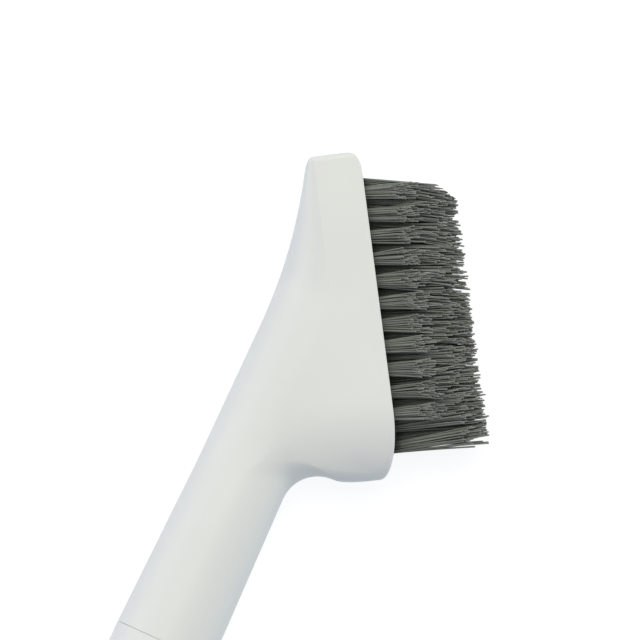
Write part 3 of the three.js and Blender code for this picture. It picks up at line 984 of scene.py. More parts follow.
    def sections(self) -> Sections:
        """Sizes of the sections between the back and the front.

        A section swells from the neck's radius to the head's thickness, the rounding of the back ends
        where the flat side begins, and fillets draw the sections in at the seam and at the tip.

        Returns:
            One row for each section.
        """
        head, half_length = self.head, self.head.half_length
        front = self.front_line()
        back_x = self.back_places()
        back = self.back_line(back_x)
        neck_half = self.handle.neck_radius(back_x)
        tip_inset = fillet_inset(half_length - head.along(front), self.tip_edge)
        back_inset = fillet_inset(half_length - head.along(back), self.tip_back_edge)
        seam_inset = fillet_inset(back_x, self.handle.seam_edge)
        swell = smoothstep(back_x, self.handle.waist_x, self.rim_back)
        half = lerp(neck_half, head.half_thickness, swell) - tip_inset - seam_inset
        way = (front - back) / np.linalg.norm(front - back, axis=1, keepdims=True)
        back = back + way * (back_inset + seam_inset)[:, None]
        front = front - way * seam_inset[:, None]
        chord = np.linalg.norm(front - back, axis=1)
        to_crease = np.maximum(self.flank_depth - head.depth(front), 0) / -(way @ head.depth_way)
        full_round = lerp(neck_half - self.least_flat, self.back_round, swell)
        back_round = np.minimum(full_round, chord - to_crease)
        end_flat = self.least_flat / 2
        front_run, front_rise = self.front_rounding().T
        front_run = np.minimum(front_run, chord / 2 - end_flat)
        front_rise = np.minimum(front_rise, half - end_flat)
        back_run = np.minimum(back_round, chord - front_run - self.least_flat)
        back_rise = np.minimum(back_round, half - end_flat)
        creased = smoothstep(head.along(front), self.crease_from, self.crease_full)
        back_end = QUARTER - self.crease_angle * creased
        sizes = (half, chord, back_run, back_rise, back_end, front_run, front_rise)
        return Sections(back, way, *[size[:, None] for size in sizes])

    def faired(self, flat: Array, height: Array) -> Array:
        """Heights of the sections, curved in at the heel but never inside the neck's tube.

        The larger of the two heights is taken, raised by a quarter of a parabola where they come close.

        Args:
            flat: points in the profile plane.
            height: height of the section over each point.

        Returns:
            The new heights.
        """
        curved = height * self.head.heel_half(self.head.along(flat)) / self.head.half_thickness
        radius = self.handle.neck_radius(flat[..., 0])
        tube = np.minimum(height, np.sqrt(np.maximum(radius**2 - flat[..., 1] ** 2, 0)))
        blend = self.heel_smooth * height
        near = np.maximum(blend - np.abs(curved - tube), 0) / blend
        return np.minimum(np.maximum(curved, tube) + near**2 * blend / 4, height)

    def rings(self) -> Array:
        """The head's sections as rings of equal count.

        A section is a rectangle between the back and the front, with an elliptical rounding at each end.

        Returns:
            Array of ring, point and coordinate.
        """
        cut = self.sections()
        turn = np.linspace(0, QUARTER, self.corner_steps + 1)
        back_turn = np.sort(np.append(turn / QUARTER, self.crease_before)) * cut.back_end
        between = np.append(self.crease_after, shares(self.flank_steps)[:-1])
        along = np.concatenate(
            [
                cut.back_run * (1 - np.cos(back_turn)) / (1 - np.cos(cut.back_end)),
                lerp(cut.back_run, cut.chord - cut.front_run, between),
                cut.chord - cut.front_run * (1 - np.sin(turn)),
            ],
            axis=1,
        )
        height = np.concatenate(
            [
                cut.half - cut.back_rise * (1 - np.sin(back_turn) / np.sin(cut.back_end)),
                np.repeat(cut.half, len(between), axis=1),
                cut.half - cut.front_rise * (1 - np.cos(turn)),
            ],
            axis=1,
        )
        flat = cut.back[:, None] + cut.way[:, None] * along[..., None]
        height = self.faired(flat, height)
        upper = np.concatenate([flat, height[..., None]], axis=-1)
        lower = np.concatenate([flat, -height[..., None]], axis=-1)
        return np.concatenate([upper, lower[:, ::-1]], axis=1)

    def pocket(self) -> Surface:
        """The pocket's space: its outline carried from its seat to beyond the rim, flared at the rim.

        Returns:
            Closed surface.
        """
        turn = np.linspace(0, QUARTER, self.lip_steps + 1)
        lip = self.pocket_edge
        depths = np.concatenate([[self.pocket_depth], lip * (1 - np.sin(turn)), [-self.over]])
        insets = np.concatenate([[0], -lip * (1 - np.cos(turn)), [-lip]])
        return self.head.stood(stacked(self.head.pocket_outline(0), depths, insets))

    def bore(self) -> Surface:
        """The neck's bore: a cylinder about the axis with a chamfered mouth.

        Returns:
            Closed surface.
        """
        radius, edge = self.handle.bore_radius, self.handle.mouth_edge
        mouth = [[-self.over, radius + edge], [0, radius + edge], [edge, radius]]
        return revolved(np.array(mouth + [[self.bore_depth, radius]]), self.handle.sides)

    def key_slot(self) -> Surface:
        """The slot beside the bore that keeps the cutter from turning: a block with round ends.

        Returns:
            Closed surface.
        """
        length = self.slot_length + self.over
        outline = rounded_rectangle(length, self.slot_width, self.slot_corner, self.slot_steps)
        block = stacked(outline, np.array([0, self.slot_top]), np.zeros(2)).reordered(0, 2, 1)
        return block.moved((self.slot_length - self.over) / 2, 0, 0)

    def build(self, place: HandleFrame, white: Material) -> None:
        """Makes the housing and cuts its pocket, bore and key slot.

        Args:
            place: place of the handle frame.
            white: material of the housing.
        """
        housing = add_mesh("head_housing", skin(self.rings()), place)
        for name, space in (("pocket", self.pocket()), ("bore", self.bore()), ("slot", self.key_slot())):
            combine(housing, add_mesh(name, space, place), Cut.TAKE_AWAY)
        crease(housing, self.handle.sharp_from)
        dress(housing, Body.BRUSH, Slot.WHITE_PLASTIC, ["head_shell"], white)


@dataclass
class TuftField:
    """Four columns of grey nylon tufts, each on its slice of the backing."""

    head: HeadFrame
    columns: int = 4
    inner_tufts: int = 13
    backing_width: float = 19.9
    backing_gap: float = 0.1  # between the backing and the pocket's wall
    tuft_end: float = 3.4
    recess: float = 1.6  # face of the backing below the rim
    slice_thickness: float = 0.8
    slice_gap: float = 0.05
    slice_end: float = 1.9  # backing beyond the middle of the last tuft
    slice_edge: float = 0.1
    slice_edge_steps: int = 2
    slice_points: int = 60  # along each side
    slice_shade: float = 0.5
    heel_ridge: float = 21.6
    tip_ridge: float = 21.3
    ridge_dip: float = 0.35  # how far the middle of the ridge lies under the line between its ends
    ridge_round: float = 1.5  # how broadly the two slopes of the cut meet along the ridge
    edge_length: float = 5.6
    tip_ring: float = 1.9  # how far the tips of an outer tuft reach, where the cut has the edge length
    hip_start: float = 0.9
    side_level: float = 0.15  # how far the cut of the outer tufts is levelled, 1 for square to them
    trim_rounds: int = 6  # steps that bring a filament's end to the cut
    trim_share: float = 0.7  # what each step takes away of the distance to it
    tip_lean: float = 0.24  # of the inner tufts, towards the heel
    heel_lean: float = -0.018
    side_lean: float = 0.07  # of the tufts along the sides
    filaments: int = 52  # in one tuft
    filament_radius: float = 0.2
    filament_sides: int = 6
    filament_steps: int = 5
    root_radius: float = 1.3
    root_jitter: float = 0.05
    root_stretch: float = 1.027  # distance of the tufts at the rim as a share of their holes' pitch
    end_slant: float = 0.5  # slant of a cut end as a share of the slope that it is trimmed to
    spread: float = 0.066  # slope of a tuft's outermost filaments
    end_spread: float = 0.05  # most slope that the filaments at both ends of the head have outwards
    wander: float = 0.023  # slope that a filament has of its own
    tuft_wander: float = 0.016
    stray_share: float = 0.06
    stray_wander: float = 0.07
    bend: float = 0.0009  # sideways curve for each square millimetre of length
    ragged: float = 0.26
    long_share: float = 0.05
    long_most: float = 0.7
    least_shade: float = 0.35  # of the darkest filament
    painted_shade_reach: float = 5.0  # height over which the painted shade at the roots of the side tufts fades out
    # the same painted shade at the roots, for the tufts in the middle
    inner_painted_shade_reach: float = 8.5
    anchor_length: float = 2.5
    anchor_height: float = 1.3
    anchor_thickness: float = 0.5
    anchor_edge: float = 0.1
    anchor_depth: float = 5.65  # middle of the anchors below the rim
    anchor_sharp_from: float = 30.0  # degrees

    @property
    def pitch(self) -> float:
        """Distance between neighbouring tufts of a column."""
        return (self.head.pocket_length - 2 * self.tuft_end) / (self.inner_tufts - 1)

    @property
    def column_pitch(self) -> float:
        """Distance between neighbouring columns."""
        return self.backing_width / self.columns

    @property
    def slope(self) -> float:
        """Fall of the cut for each millimetre away from the ridge, beyond its rounding."""
        run = math.hypot(self.across(0) + self.tip_ring, self.ridge_round) - self.ridge_round
        return (self.heel_ridge - self.edge_length) / run

    @property
    def end(self) -> float:
        """Place of the first tuft of the longest column, the last one's with its sign turned."""
        return (self.inner_tufts - 1) / 2 * self.pitch

    @property
    def hip(self) -> float:
        """Place along the head at which the ridge starts to fall towards the tip."""
        return self.end - self.hip_start

    @property
    def sunk(self) -> float:
        """Depth of the filaments' roots below the rim, in the middle of the backing."""
        return self.recess + self.slice_thickness / 2

    def inner(self, column: int) -> bool:
        """Whether a column is one of those in the middle."""
        return 0 < column < self.columns - 1

    def places(self, column: int) -> Array:
        """Tufts along a column.

        Every other column is half a pitch off, and the outer ones stop short where the heel curves in.

        Args:
            column: number of the column.

        Returns:
            Places along the head, from the tip to the heel.
        """
        shifted = column % 2 == 0
        inner = self.inner(column)
        skipped = (0.5 if shifted else 0) + (0 if inner or shifted else 1)
        count = self.inner_tufts - int(shifted) - (0 if inner else 2 - int(shifted))
        return self.end - (np.arange(count) + skipped) * self.pitch

    def across(self, column: int) -> float:
        """Place of a column across the head, the first one uppermost."""
        return ((self.columns - 1) / 2 - column) * self.column_pitch

    def cut(self, along: Array, across: Array) -> Array:
        """Trimmed length from the rim: a rounded ridge that falls evenly to both sides and to the tip.

        Args:
            along: places along the head.
            across: places across it.

        Returns:
            Length at each place.
        """
        past_hip = np.maximum(along - self.hip, 0)
        ridge = lerp(self.heel_ridge, self.tip_ridge, (along + self.end) / (2 * self.end))
        ridge = ridge - self.ridge_dip * (1 - (along / self.end) ** 2)
        away = np.maximum(np.abs(across), past_hip)
        return ridge - self.slope * (np.hypot(away, self.ridge_round) - self.ridge_round)

    def lean(self, column: int) -> Array:
        """Lean of the tufts towards the heel: even along the sides, growing to the tip in the middle.

        Args:
            column: number of the column.

        Returns:
            Slope of each tuft.
        """
        places = self.places(column)
        if not self.inner(column):
            return np.full_like(places, self.side_lean)
        return lerp(self.heel_lean, self.tip_lean, (places + self.end) / (2 * self.end))

    def strip(self, column: int) -> Surface:
        """The strip of backing under one column, kept inside the pocket's outline.

        Args:
            column: number of the column.

        Returns:
            Closed surface.
        """
        places = self.places(column)
        along = np.linspace(places[-1] - self.slice_end, places[0] + self.slice_end, self.slice_points)
        half = (self.column_pitch - self.slice_gap) / 2
        room = self.head.pocket_half(along, self.backing_gap)
        lower = np.stack([along, np.maximum(self.across(column) - half, -room)], axis=1)
        upper = np.stack([along, np.minimum(self.across(column) + half, room)], axis=1)
        outline = np.concatenate([lower, upper[::-1]])
        strip = slab(outline, self.slice_thickness, self.slice_edge, self.slice_edge_steps)
        return self.head.stood(strip.moved(0, 0, self.sunk))

    def lines(self, column: int, draw: Draws) -> tuple[Array, Array, Array]:
        """Lines of the filaments of one column before they lean.

        Roots fill a disc on a golden spiral. A filament leaves its root on a slope that grows with its
        distance from the tuft's middle, wanders a little and curves by the square of its length.

        Args:
            column: number of the column.
            draw: source of the random shares.

        Returns:
            Root, slope and curve, each along and across the head, by tuft and filament.
        """
        places = self.places(column)[:, None]
        tufts = len(places)
        shape = (2, tufts, self.filaments)
        order = np.arange(self.filaments)
        radius = self.root_radius * np.sqrt((order + 0.5) / self.filaments)
        turn = order * GOLDEN_TURN + draw.uniform(0, FULL_TURN, (tufts, 1))
        out = np.stack([radius * np.cos(turn), radius * np.sin(turn)])
        out = out + draw.normal(0, self.root_jitter, shape)
        stray = draw.random(shape[1:]) < self.stray_share
        slope = self.spread * out / self.root_radius
        slope = slope + draw.normal(0, self.wander, shape)
        slope = slope + draw.normal(0, self.tuft_wander, (2, tufts, 1))
        slope = slope + stray * draw.normal(0, self.stray_wander, shape)
        last = np.abs(places) > self.end - self.pitch
        slope[0] = np.where(last, np.clip(slope[0], -self.end_spread, self.end_spread), slope[0])
        curve = draw.normal(0, self.bend, shape)
        root = np.stack([places * self.root_stretch + out[0], self.across(column) + out[1]])
        return root, slope, curve

    def trimmed(self, column: int, lines: tuple[Array, Array, Array], draw: Draws) -> tuple[Array, Array]:
        """Trims each filament to the cut over its own tip, give or take a ragged share.

        The tip moves as the length changes, so the length goes towards the cut in a few rounds.

        Args:
            column: number of the column.
            lines: root, slope and curve of the filaments.
            draw: source of the random shares.

        Returns:
            Length beyond the rim, and tip along and across the head.
        """
        root, slope, curve = lines
        shape = root.shape[1:]
        uneven = draw.normal(0, self.ragged, shape)
        longer = (draw.random(shape) < self.long_share) * draw.uniform(0, self.long_most, shape)
        level = 0 if self.inner(column) else self.side_level
        length = np.full(shape, self.edge_length)
        for _ in range(self.trim_rounds):
            reach = length + self.sunk
            tip = root + slope * reach + curve * reach**2
            cut = self.cut(tip[0], lerp(tip[1], self.across(column), level))
            length = lerp(length, cut + uneven + longer, self.trim_share)
        return length, tip

    def strands(self, column: int, draw: Draws) -> tuple[Surface, Array]:
        """The filaments of one column as tubes along their lines, with ends that follow the cut's slope.

        Args:
            column: number of the column.
            draw: source of the random shares.

        Returns:
            The closed tubes, and the grey of each point: a random tone times painted shade towards the
            root.
        """
        root, slope, curve = self.lines(column, draw)
        length, tip = self.trimmed(column, (root, slope, curve), draw)
        slope[0] -= self.lean(column)[:, None]
        reach = (length + self.sunk)[..., None] * np.linspace(0, 1, self.filament_steps + 1)
        line = root[..., None] + slope[..., None] * reach + curve[..., None] * reach**2
        round_turn = np.linspace(0, FULL_TURN, self.filament_sides, endpoint=False)
        twist = draw.uniform(0, FULL_TURN, length.shape)[..., None] + round_turn
        side = self.filament_radius * np.stack([np.cos(twist), np.sin(twist)])
        along, across = line[..., None] + side[..., None, :]
        depth = np.broadcast_to((self.sunk - reach)[..., None], along.shape).copy()
        on_hip = tip[0] - self.hip > np.abs(tip[1])
        fall = np.where(on_hip[..., None], side[0], np.sign(tip[1])[..., None] * side[1])
        depth[:, :, -1] += self.end_slant * self.slope * fall
        points = self.head.points(along, depth, across).reshape(-1, 3)
        index = np.arange(len(points)).reshape(-1, self.filament_steps + 1, self.filament_sides)
        surface = Surface(points, [wrapped_quads(index), index[:, 0, ::-1], index[:, -1]]).outward()
        # painted shade: each filament darkens towards its root, standing in for the shade between the
        # tufts
        shaded = self.inner_painted_shade_reach if self.inner(column) else self.painted_shade_reach
        shade = lerp(self.least_shade, 1, draw.random(length.shape))[..., None]
        shade = shade * smoothstep(reach, 0, shaded)
        return surface, np.repeat(shade.ravel(), self.filament_sides)

    def build_column(
        self, column: int, place: HandleFrame, materials: Sequence[Material], draw: Draws
    ) -> None:
        """Makes one column of tufts with its strip, and marks the cut ends.

        Args:
            column: number of the column.
            place: place of the handle frame.
            materials: filament, cut end with its painted highlight, and backing.
            draw: source of the random shares.
        """
        strands, shade = self.strands(column, draw)
        strip = self.strip(column)
        tufts = add_mesh(f"bristles_{column + 1}", joined([strands, strip]), place)
        mesh = tufts.data
        sides, roots, ends = [len(faces) for faces in strands.faces]
        strip_faces = sum(len(faces) for faces in strip.faces)
        # the cut ends take the second material, a lighter grey that paints a highlight on them
        kinds = np.repeat([0, 0, 1, 2], [sides, roots, ends, strip_faces])
        mesh.polygons.foreach_set("material_index", kinds.astype(np.int32))
        strip_shade = np.full(len(strip.points), self.slice_shade)
        shades = mesh.attributes.new(SHADE, "FLOAT", "POINT")
        shades.data.foreach_set("value", np.concatenate([shade, strip_shade]))
        at_end = np.zeros(len(mesh.vertices), bool)
        at_end[strands.faces[2].ravel()] = True
        at_end[len(strands.points) :] = True
        ends_of_edges = np.empty(2 * len(mesh.edges), np.int32)
        mesh.edges.foreach_get("vertices", ends_of_edges)
        sharp = mesh.attributes.new("sharp_edge", "BOOLEAN", "EDGE")
        sharp.data.foreach_set("value", at_end[ends_of_edges.reshape(-1, 2)].all(axis=1))
        dress(tufts, Body.BRUSH, Slot.BRISTLE, [f"bristle_column_{column + 1}"], *materials)

    def build_anchors(self, place: HandleFrame, steel: Material) -> None:
        """Makes the flat wires that hold the folded tufts in their holes, as one piece.

        Args:
            place: place of the handle frame.
            steel: material of the wires.
        """
        outline = rounded_rectangle(self.anchor_length, self.anchor_thickness, self.anchor_edge, 1)
        wire = slab(outline, self.anchor_height, self.anchor_edge, 1)
        wires = []
        names = []
        for column in range(self.columns):
            for number, along in enumerate(self.places(column)):
                wires.append(self.head.stood(wire.moved(along, self.across(column), self.anchor_depth)))
                names.append(f"tuft_anchor_{column + 1}_{number + 1}")
        anchors = add_mesh("tuft_anchors", joined(wires), place)
        crease(anchors, self.anchor_sharp_from)
        dress(anchors, Body.BRUSH, Slot.STEEL, names, steel)


@dataclass
class TailGrip:
    """White grip that closes the handle and pulls out with the cutter."""

    handle: Handle
    length: float = 99.0
    swell_x: float = 42.0
    swell_radius: float = 12.0
    end_radius: float = 10.25
    end_round: float = 6.0
    floor: float = 4.0
    socket: float = 24.25
    hollow_radius: float = 7.5
    hollow_round: float = 3.0
    end_steps: int = 16
    rear_steps: int = 24
    fore_steps: int = 18
    edge_steps: int = 6
    hollow_steps: int = 8

    def profile(self) -> Array:
        """Profile of the grip and its hollow.

        From the closed end it runs round a quarter circle, over a parabola that is widest where the hand
        closes, round the seam's edge, and back in through the socket, its shoulder and the hollow.

        Returns:
            Places along X and radii.
        """
        handle, edge, mouth = self.handle, self.handle.seam_edge, self.handle.mouth_edge
        rear_end = self.end_round - self.length
        fore_end = -handle.seam_gap - edge
        rear = lerp(rear_end, -self.swell_x, shares(self.rear_steps))
        fore = lerp(-self.swell_x, fore_end, shares(self.fore_steps))
        rear_share = (rear + self.swell_x) / (rear_end + self.swell_x)
        fore_share = (fore + self.swell_x) / (self.swell_x - handle.seam_gap)
        rear_radius = lerp(self.swell_radius, self.end_radius, rear_share**2)
        fore_radius = lerp(self.swell_radius, handle.seam_radius, fore_share**2)
        end_centre = (rear_end, self.end_radius - self.end_round)
        edge_centre = (fore_end, fore_radius[-1] - edge)
        hollow_x = self.floor - self.length + self.hollow_round
        hollow_centre = (hollow_x, self.hollow_radius - self.hollow_round)
        socket = [
            [-handle.seam_gap, handle.bore_radius + mouth],
            [-handle.seam_gap - mouth, handle.bore_radius],
            [-self.socket, handle.bore_radius],
            [-self.socket, self.hollow_radius],
        ]
        return np.concatenate(
            [
                arc(end_centre, self.end_round, 2 * QUARTER, QUARTER, self.end_steps),
                np.stack([rear, rear_radius], axis=1),
                np.stack([fore, fore_radius], axis=1),
                arc(edge_centre, edge, QUARTER, 0, self.edge_steps)[1:],
                socket,
                arc(hollow_centre, self.hollow_round, QUARTER, 2 * QUARTER, self.hollow_steps),
            ]
        )

    def build(self, place: HandleFrame, white: Material) -> None:
        """Turns the grip's profile about the axis.

        Args:
            place: place of the handle frame.
            white: material of the grip.
        """
        grip = add_mesh("tail_handle", revolved(self.profile(), self.handle.sides), place)
        crease(grip, self.handle.sharp_from)
        dress(grip, Body.TAIL, Slot.WHITE_PLASTIC, ["tail_grip"], white)


@dataclass
class HairCutter:
    """Grey moulding with a spigot and a fork, and the pins that hold the steel blade across its notch."""

    spigot_radius: float = 8.45
    spigot_wall: float = 2.0
    spigot_in_tail: float = 24.0
    spigot_in_neck: float = 16.0
    spigot_edge: float = 0.4
    key_length: float = 12.0
    key_width: float = 2.0
    key_top: float = 9.45
    key_corner: float = 0.3
    key_edge: float = 0.2  # chamfer along its top
    key_from_end: float = 1.0
    fork_thickness: float = 5.0
    fork_half: float = 6.0
    fork_reach: float = 61.0
    fork_edge: float = 0.55
    prong_step: float = 6.0  # how far the short prong stands back
    prong_width: float = 3.8
    prong_point: float = 2.28  # foremost place of the long prong, in from its outer side
    mouth_round: float = 1.0  # corner of the short prong at the mouth of the notch
    short_round: float = 4.0  # run of the short prong's outer corner
    notch_length: float = 13.0
    notch_mouth: float = 3.4
    notch_root: float = 1.4
    blade_length: float = 9.6
    blade_width: float = 4.0
    blade_thickness: float = 0.6
    blade_tilt: float = math.radians(52)
    blade_place: float = 0.3  # where the blade crosses, as a share of the notch
    slit_gap: float = 0.25
    slit_corner: float = 0.1
    pin_radius: float = 0.6
    pin_spacing: float = 6.6
    pin_dome: float = 0.12
    pin_flat: float = 0.2  # flat middle of a head as a share of its radius
    gusset_length: float = 12.0
    gusset_rise: float = 4.0
    gusset_thickness: float = 2.0
    gusset_edge: float = 0.2
    sides: int = 96
    pin_sides: int = 24
    pin_steps: int = 6
    key_steps: int = 3
    fork_edge_steps: int = 5
    gusset_edge_steps: int = 2
    outer_steps: int = 10  # of the outer curves of both prongs
    inner_steps: int = 8
    notch_steps: int = 12
    mouth_steps: int = 6
    sharp_from: float = 28.0  # degrees
    pin_sharp_from: float = 40.0  # degrees

    @property
    def fork_root(self) -> float:
        """Place of the spigot's end wall, which the fork stands on."""
        return self.spigot_in_neck - self.spigot_wall

    @property
    def notch_x(self) -> float:
        """Root of the notch."""
        return self.fork_reach - self.prong_step - self.notch_length

    @property
    def notch_y(self) -> float:
        """Middle of the notch."""
        return -self.fork_half + self.prong_width + self.notch_mouth / 2

    @property
    def blade_x(self) -> float:
        """Middle of the blade along the handle."""
        return self.notch_x + self.blade_place * self.notch_length

    def spigot(self) -> Surface:
        """The spigot: a cup turned about the axis, open towards the grip, with softened rims.

        Returns:
            Closed surface.
        """
        edge, outer = self.spigot_edge, self.spigot_radius
        inner = outer - self.spigot_wall
        profile = [
            [self.fork_root, inner],
            [-self.spigot_in_tail, inner],
            [-self.spigot_in_tail, outer - edge],
            [edge - self.spigot_in_tail, outer],
            [self.spigot_in_neck - edge, outer],
            [self.spigot_in_neck, outer - edge],
        ]
        return revolved(np.array(profile), self.sides)

    def fork_outline(self) -> Array:
        """The fork in the plane of the handle's profile: a long rounded prong, a notch, a short prong.

        Returns:
            Points of the outline, anticlockwise, with each rounding as a quadratic curve or an arc.
        """
        half, reach, width = self.fork_half, self.fork_reach, self.prong_width
        short = reach - self.prong_step
        low = width - half
        high = low + self.notch_mouth
        point = (reach, self.prong_point - half)
        mouth = (short, high + self.mouth_round)
        notch = (self.notch_x, self.notch_y)
        return np.concatenate(
            [
                [[self.fork_root, -half]],
                bezier((reach - 2 * width, -half), (reach, -half), point, self.outer_steps),
                bezier(point, (reach, low), (reach - width, low), self.inner_steps)[1:],
                [[short, low]],
                arc(notch, self.notch_root / 2, 3 * QUARTER, QUARTER, self.notch_steps),
                bezier((short - self.mouth_round, high), (short, high), mouth, self.mouth_steps),
                bezier(mouth, (short, half), (short - self.short_round, half), self.outer_steps)[1:],
                [[self.fork_root, half]],
            ]
        )

    def key(self) -> Surface:
        """The rib along the spigot that slides in the neck's slot, chamfered along its top.

        Returns:
            Closed surface.
        """
        outline = rounded_rectangle(self.key_length, self.key_width, self.key_corner, self.key_steps)
        foot = self.spigot_radius - self.spigot_wall / 2
        heights = np.array([foot, self.key_top - self.key_edge, self.key_top])
        rib = stacked(outline, heights, np.array([0, 0, self.key_edge])).reordered(0, 2, 1)
        return rib.moved(self.spigot_in_neck - self.key_length / 2 - self.key_from_end, 0, 0)

    def gusset(self, side: int) -> Surface:
        """A tapering rib on one face of the fork, running out from the spigot's end wall.

        Args:
            side: 1 for the upper face and -1 for the lower one.

        Returns:
            Closed surface.
        """
        start = self.spigot_in_neck - self.spigot_wall / 2
        top = self.fork_thickness / 2 + self.gusset_rise
        outline = np.array([[start, 0], [start + self.gusset_length, 0], [start, top]])
        rib = slab(outline, self.gusset_thickness, self.gusset_edge, self.gusset_edge_steps)
        rib = rib.reordered(0, 2, 1)
        return Surface(rib.points * np.array([1, 1, side]), rib.faces).outward()

    def slit(self) -> Surface:
        """The space for the blade in the middle of the fork.

        Returns:
            Closed surface.
        """
        gap = 2 * self.slit_gap
        outline = rounded_rectangle(self.blade_length + gap, self.blade_width + gap, self.slit_corner, 1)
        half = (self.blade_thickness + gap) / 2
        block = stacked(outline, np.array([-half, half]), np.zeros(2))
        return block.placed(self.blade_tilt, self.blade_x, self.notch_y)

    def pin(self, side: int) -> Surface:
        """A pin through the fork whose heads are domes on a quarter ellipse.

        Args:
            side: -1 or 1 for the end of the blade.

        Returns:
            Closed surface.
        """
        turn = np.linspace(0, QUARTER, self.pin_steps + 1)
        heights = self.fork_thickness / 2 + self.pin_dome * np.cos(turn)
        radii = self.pin_radius * lerp(self.pin_flat, 1, np.sin(turn))
        head = np.stack([heights, radii], axis=1)
        body = revolved(np.concatenate([head * np.array([-1, 1]), head[::-1]]), self.pin_sides)
        upright = body.reordered(1, 2, 0).moved(side * self.pin_spacing / 2, 0, 0)
        return upright.placed(self.blade_tilt, self.blade_x, self.notch_y)

    def build(self, place: HandleFrame, grey: Material, steel: Material) -> None:
        """Joins the spigot, fork, key and gussets, cuts the slit and adds the pins.

        Args:
            place: place of the handle frame.
            grey: material of the moulding.
            steel: material of the pins.
        """
        stem = add_mesh("hair_cutter", self.spigot(), place)
        fork = slab(self.fork_outline(), self.fork_thickness, self.fork_edge, self.fork_edge_steps)
        for name, part in (
            ("fork", fork),
            ("key", self.key()),
            ("gusset_up", self.gusset(1)),
            ("gusset_down", self.gusset(-1)),
        ):
            combine(stem, add_mesh(name, part, place), Cut.JOIN)
        combine(stem, add_mesh("slit", self.slit(), place), Cut.TAKE_AWAY)
        crease(stem, self.sharp_from)
        dress(stem, Body.TAIL, Slot.GREY_PLASTIC, ["cutter_stem"], grey)
        pins = add_mesh("blade_pins", joined([self.pin(-1), self.pin(1)]), place)
        crease(pins, self.pin_sharp_from)
        dress(pins, Body.TAIL, Slot.STEEL, ["blade_pin_1", "blade_pin_2"], steel)


@dataclass(frozen=True)
class SoftLamp:
    """A large square lamp that hangs over the brush, with its size and distance in metres."""

    name: str
    way: tuple[float, float, float]  # picture's right, picture's up, to the camera
    colour: str
    power: float
    size: float = 1.1
    distance: float = 1.6


KEY_LAMP = SoftLamp("key lamp", (0.0, 0.4, 0.92), "#fff7de", 11.4)
SIDE_LAMP = SoftLamp("side lamp", (-0.95, 0.1, 0.3), "#faf7ff", 10.9)


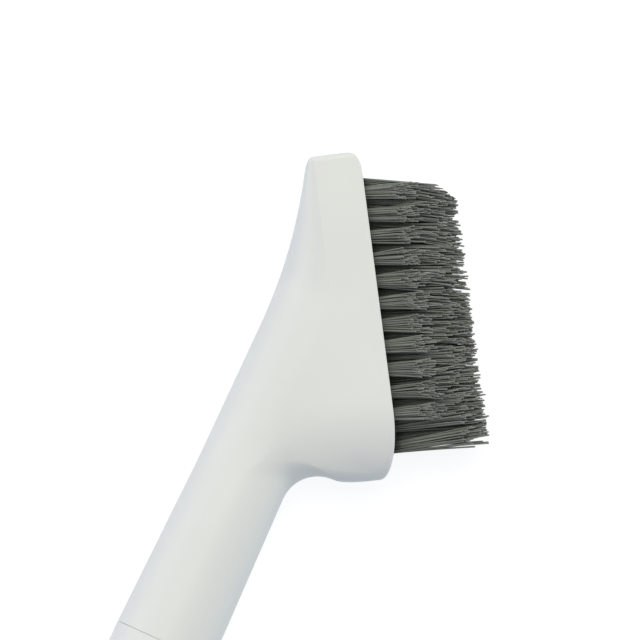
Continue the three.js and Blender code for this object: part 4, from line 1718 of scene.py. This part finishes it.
@dataclass
class Studio:
    """Camera over the lying brush, two large soft lamps, a pale floor and a surround of light."""

    aim: tuple[float, float, float] = (83.28, -1.17, 0.0)  # handle frame, under the middle of the picture
    view_width: float = 149.0  # millimetres across the picture
    distance: float = 2000.0  # millimetres from there to the camera
    right: tuple[float, float] = (0.4223, -0.9064)  # way of the picture's right side
    tilt: float = math.radians(3.0)  # the camera stands this far over towards the tail
    sensor: float = 36.0
    farthest: float = 100.0  # metres that the camera sees
    bright_way: tuple[float, float, float] = (0.84, 0.34, -0.43)  # brightest side of the surround
    bright_colour: str = "#f4f7ff"
    dim_colour: str = "#002552"
    surround_strength: float = 1.31
    backdrop_colour: str = "#ffffff"
    floor_half: float = 4.0  # metres
    floor_gap: float = 0.0003  # metres under the brush
    floor_glow: float = 0.85  # what the floor shows of its own, so that it reads white
    floor_colour: str = "#8c8c8c"
    bounce_colour: str = "#c6d6e5"

    def view_axes(self) -> Matrix:
        """Ways of the camera, with its right side square to where it looks from.

        Returns:
            Right, up and backward as the columns of a matrix.
        """
        backward = Vector((-math.sin(self.tilt), 0, math.cos(self.tilt)))
        right = Vector((*self.right, 0))
        right = (right - backward * right.dot(backward)).normalized()
        return Matrix((right, backward.cross(right), backward)).transposed()

    def middle(self, place: HandleFrame) -> Vector:
        """Point that the camera and the lamps face, in metres of the row frame."""
        return Vector(place.metres(np.array(self.aim)))

    def add_camera(self, place: HandleFrame) -> None:
        """Puts a long lens over the brush, turned as the picture is.

        Args:
            place: place of the handle frame.
        """
        data = bpy.data.cameras.new("camera")
        data.sensor_width = self.sensor
        data.lens = self.sensor * self.distance / self.view_width
        data.clip_end = self.farthest
        camera = add_object("camera", data)
        axes = self.view_axes()
        stand = self.middle(place) + axes.col[2] * self.distance * MM
        camera.matrix_world = Matrix.Translation(stand) @ axes.to_4x4()
        bpy.context.scene.camera = camera

    def add_lamp(self, place: HandleFrame, soft: SoftLamp) -> None:
        """Hangs one lamp so that it faces the middle of the picture.

        Args:
            place: place of the handle frame.
            soft: the lamp.
        """
        data = bpy.data.lights.new(soft.name, "AREA")
        data.size = soft.size
        data.energy = soft.power
        data.color = linear(soft.colour)[:3]
        lamp = add_object(soft.name, data)
        way = (self.view_axes() @ Vector(soft.way)).normalized()
        turned = way.to_track_quat("Z", "Y").to_matrix().to_4x4()
        lamp.matrix_world = Matrix.Translation(self.middle(place) + way * soft.distance) @ turned
        lamp.visible_camera = False

    def seen(self, tree: Tree) -> Socket:
        """Finds the rays that show the background to the eye, straight, in gloss or through glass.

        Args:
            tree: node tree that asks.

        Returns:
            1 for such a ray and 0 for others.
        """
        path = add_node(tree, "LightPath", {}).outputs
        straight, glossy = path["Is Camera Ray"], path["Is Glossy Ray"]
        shown = add_node(tree, "Math", {0: straight, 1: glossy}, operation="MAXIMUM").outputs[0]
        through = path["Is Transmission Ray"]
        return add_node(tree, "Math", {0: shown, 1: through}, operation="MAXIMUM").outputs[0]

    def add_floor(self) -> None:
        """Lays a floor that reads white and keeps the brush's shadow."""
        half, low = self.floor_half, -self.floor_gap
        mesh = bpy.data.meshes.new("floor")
        corners = [(-half, -half, low), (half, -half, low), (half, half, low), (-half, half, low)]
        mesh.from_pydata(corners, [], [(0, 1, 2, 3)])
        floor = add_object("floor", mesh)
        material = bpy.data.materials.new("white paper floor")
        tree = new_tree(material)
        paper = add_node(tree, "BsdfDiffuse", {"Color": linear(self.floor_colour)}).outputs[0]
        glow = add_node(tree, "Emission", {"Strength": self.floor_glow}).outputs[0]
        shown = add_node(tree, "AddShader", {0: paper, 1: glow}).outputs[0]
        bounce = add_node(tree, "BsdfDiffuse", {"Color": linear(self.bounce_colour)}).outputs[0]
        mix = add_node(tree, "MixShader", {0: self.seen(tree), 1: bounce, 2: shown})
        add_node(tree, "OutputMaterial", {"Surface": mix.outputs[0]})
        mesh.materials.append(material)

    def add_surround(self) -> None:
        """Surrounds the brush with light that brightens evenly to one side and reads white behind it."""
        world = bpy.data.worlds.new("surround")
        bpy.context.scene.world = world
        tree = new_tree(world)
        bright = (self.view_axes() @ Vector(self.bright_way)).normalized()
        way = add_node(tree, "TexCoord", {}).outputs["Generated"]
        turned = add_node(tree, "VectorMath", {0: way, 1: bright}, operation="DOT_PRODUCT")
        share = add_node(tree, "MapRange", {"Value": turned.outputs["Value"], "From Min": -1.0})
        ends = {"A": linear(self.dim_colour), "B": linear(self.bright_colour)}
        colour = add_node(tree, "Mix", {"Factor": share.outputs["Result"], **ends}, data_type="RGBA")
        surround = {"Color": colour.outputs["Result"], "Strength": self.surround_strength}
        light = add_node(tree, "Background", surround).outputs[0]
        backdrop = {"Color": linear(self.backdrop_colour), "Strength": 1.0}
        white = add_node(tree, "Background", backdrop).outputs[0]
        mix = add_node(tree, "MixShader", {0: self.seen(tree), 1: light, 2: white})
        add_node(tree, "OutputWorld", {"Surface": mix.outputs[0]})

    def build(self, place: HandleFrame) -> None:
        """Sets up the camera, the lamps, the floor and the surround.

        Args:
            place: place of the handle frame.
        """
        bpy.context.scene.view_settings.view_transform = "Standard"
        self.add_camera(place)
        self.add_lamp(place, KEY_LAMP)
        self.add_lamp(place, SIDE_LAMP)
        self.add_floor()
        self.add_surround()


def dress_node(name: str, material: Material) -> None:
    """Gives a node whose shape is kept its material.

    Args:
        name: name of the node.
        material: its material.
    """
    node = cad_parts[name]
    node.data.materials.clear()
    node.data.materials.append(material)
    log.info("%s: kept", name)


def main() -> None:
    """Builds the pieces in order."""
    logging.basicConfig(level=logging.INFO, format="%(message)s")
    place = HandleFrame.from_nodes()
    handle = Handle()
    head = HeadFrame()
    white = WHITE_ABS.material()
    dark = DARK_PP.material()
    wire = WIRE_STEEL.material()
    draw = np.random.default_rng(SEED)
    HeadHousing(handle, head).build(place, white)
    tufts = TuftField(head)
    bristle_materials = [GREY_NYLON.material(), CUT_NYLON_PAINTED_LIGHT.material(), dark]
    for column in range(tufts.columns):
        tufts.build_column(column, place, bristle_materials, draw)
    tufts.build_anchors(place, wire)
    dress_node("tuft_plate", dark)
    TailGrip(handle).build(place, white)
    HairCutter().build(place, GREY_ABS.material(), wire)
    dress_node("cutter_blade", BLADE_STEEL.material())
    Studio().build(place)


if __name__ == "__main__":
    main()
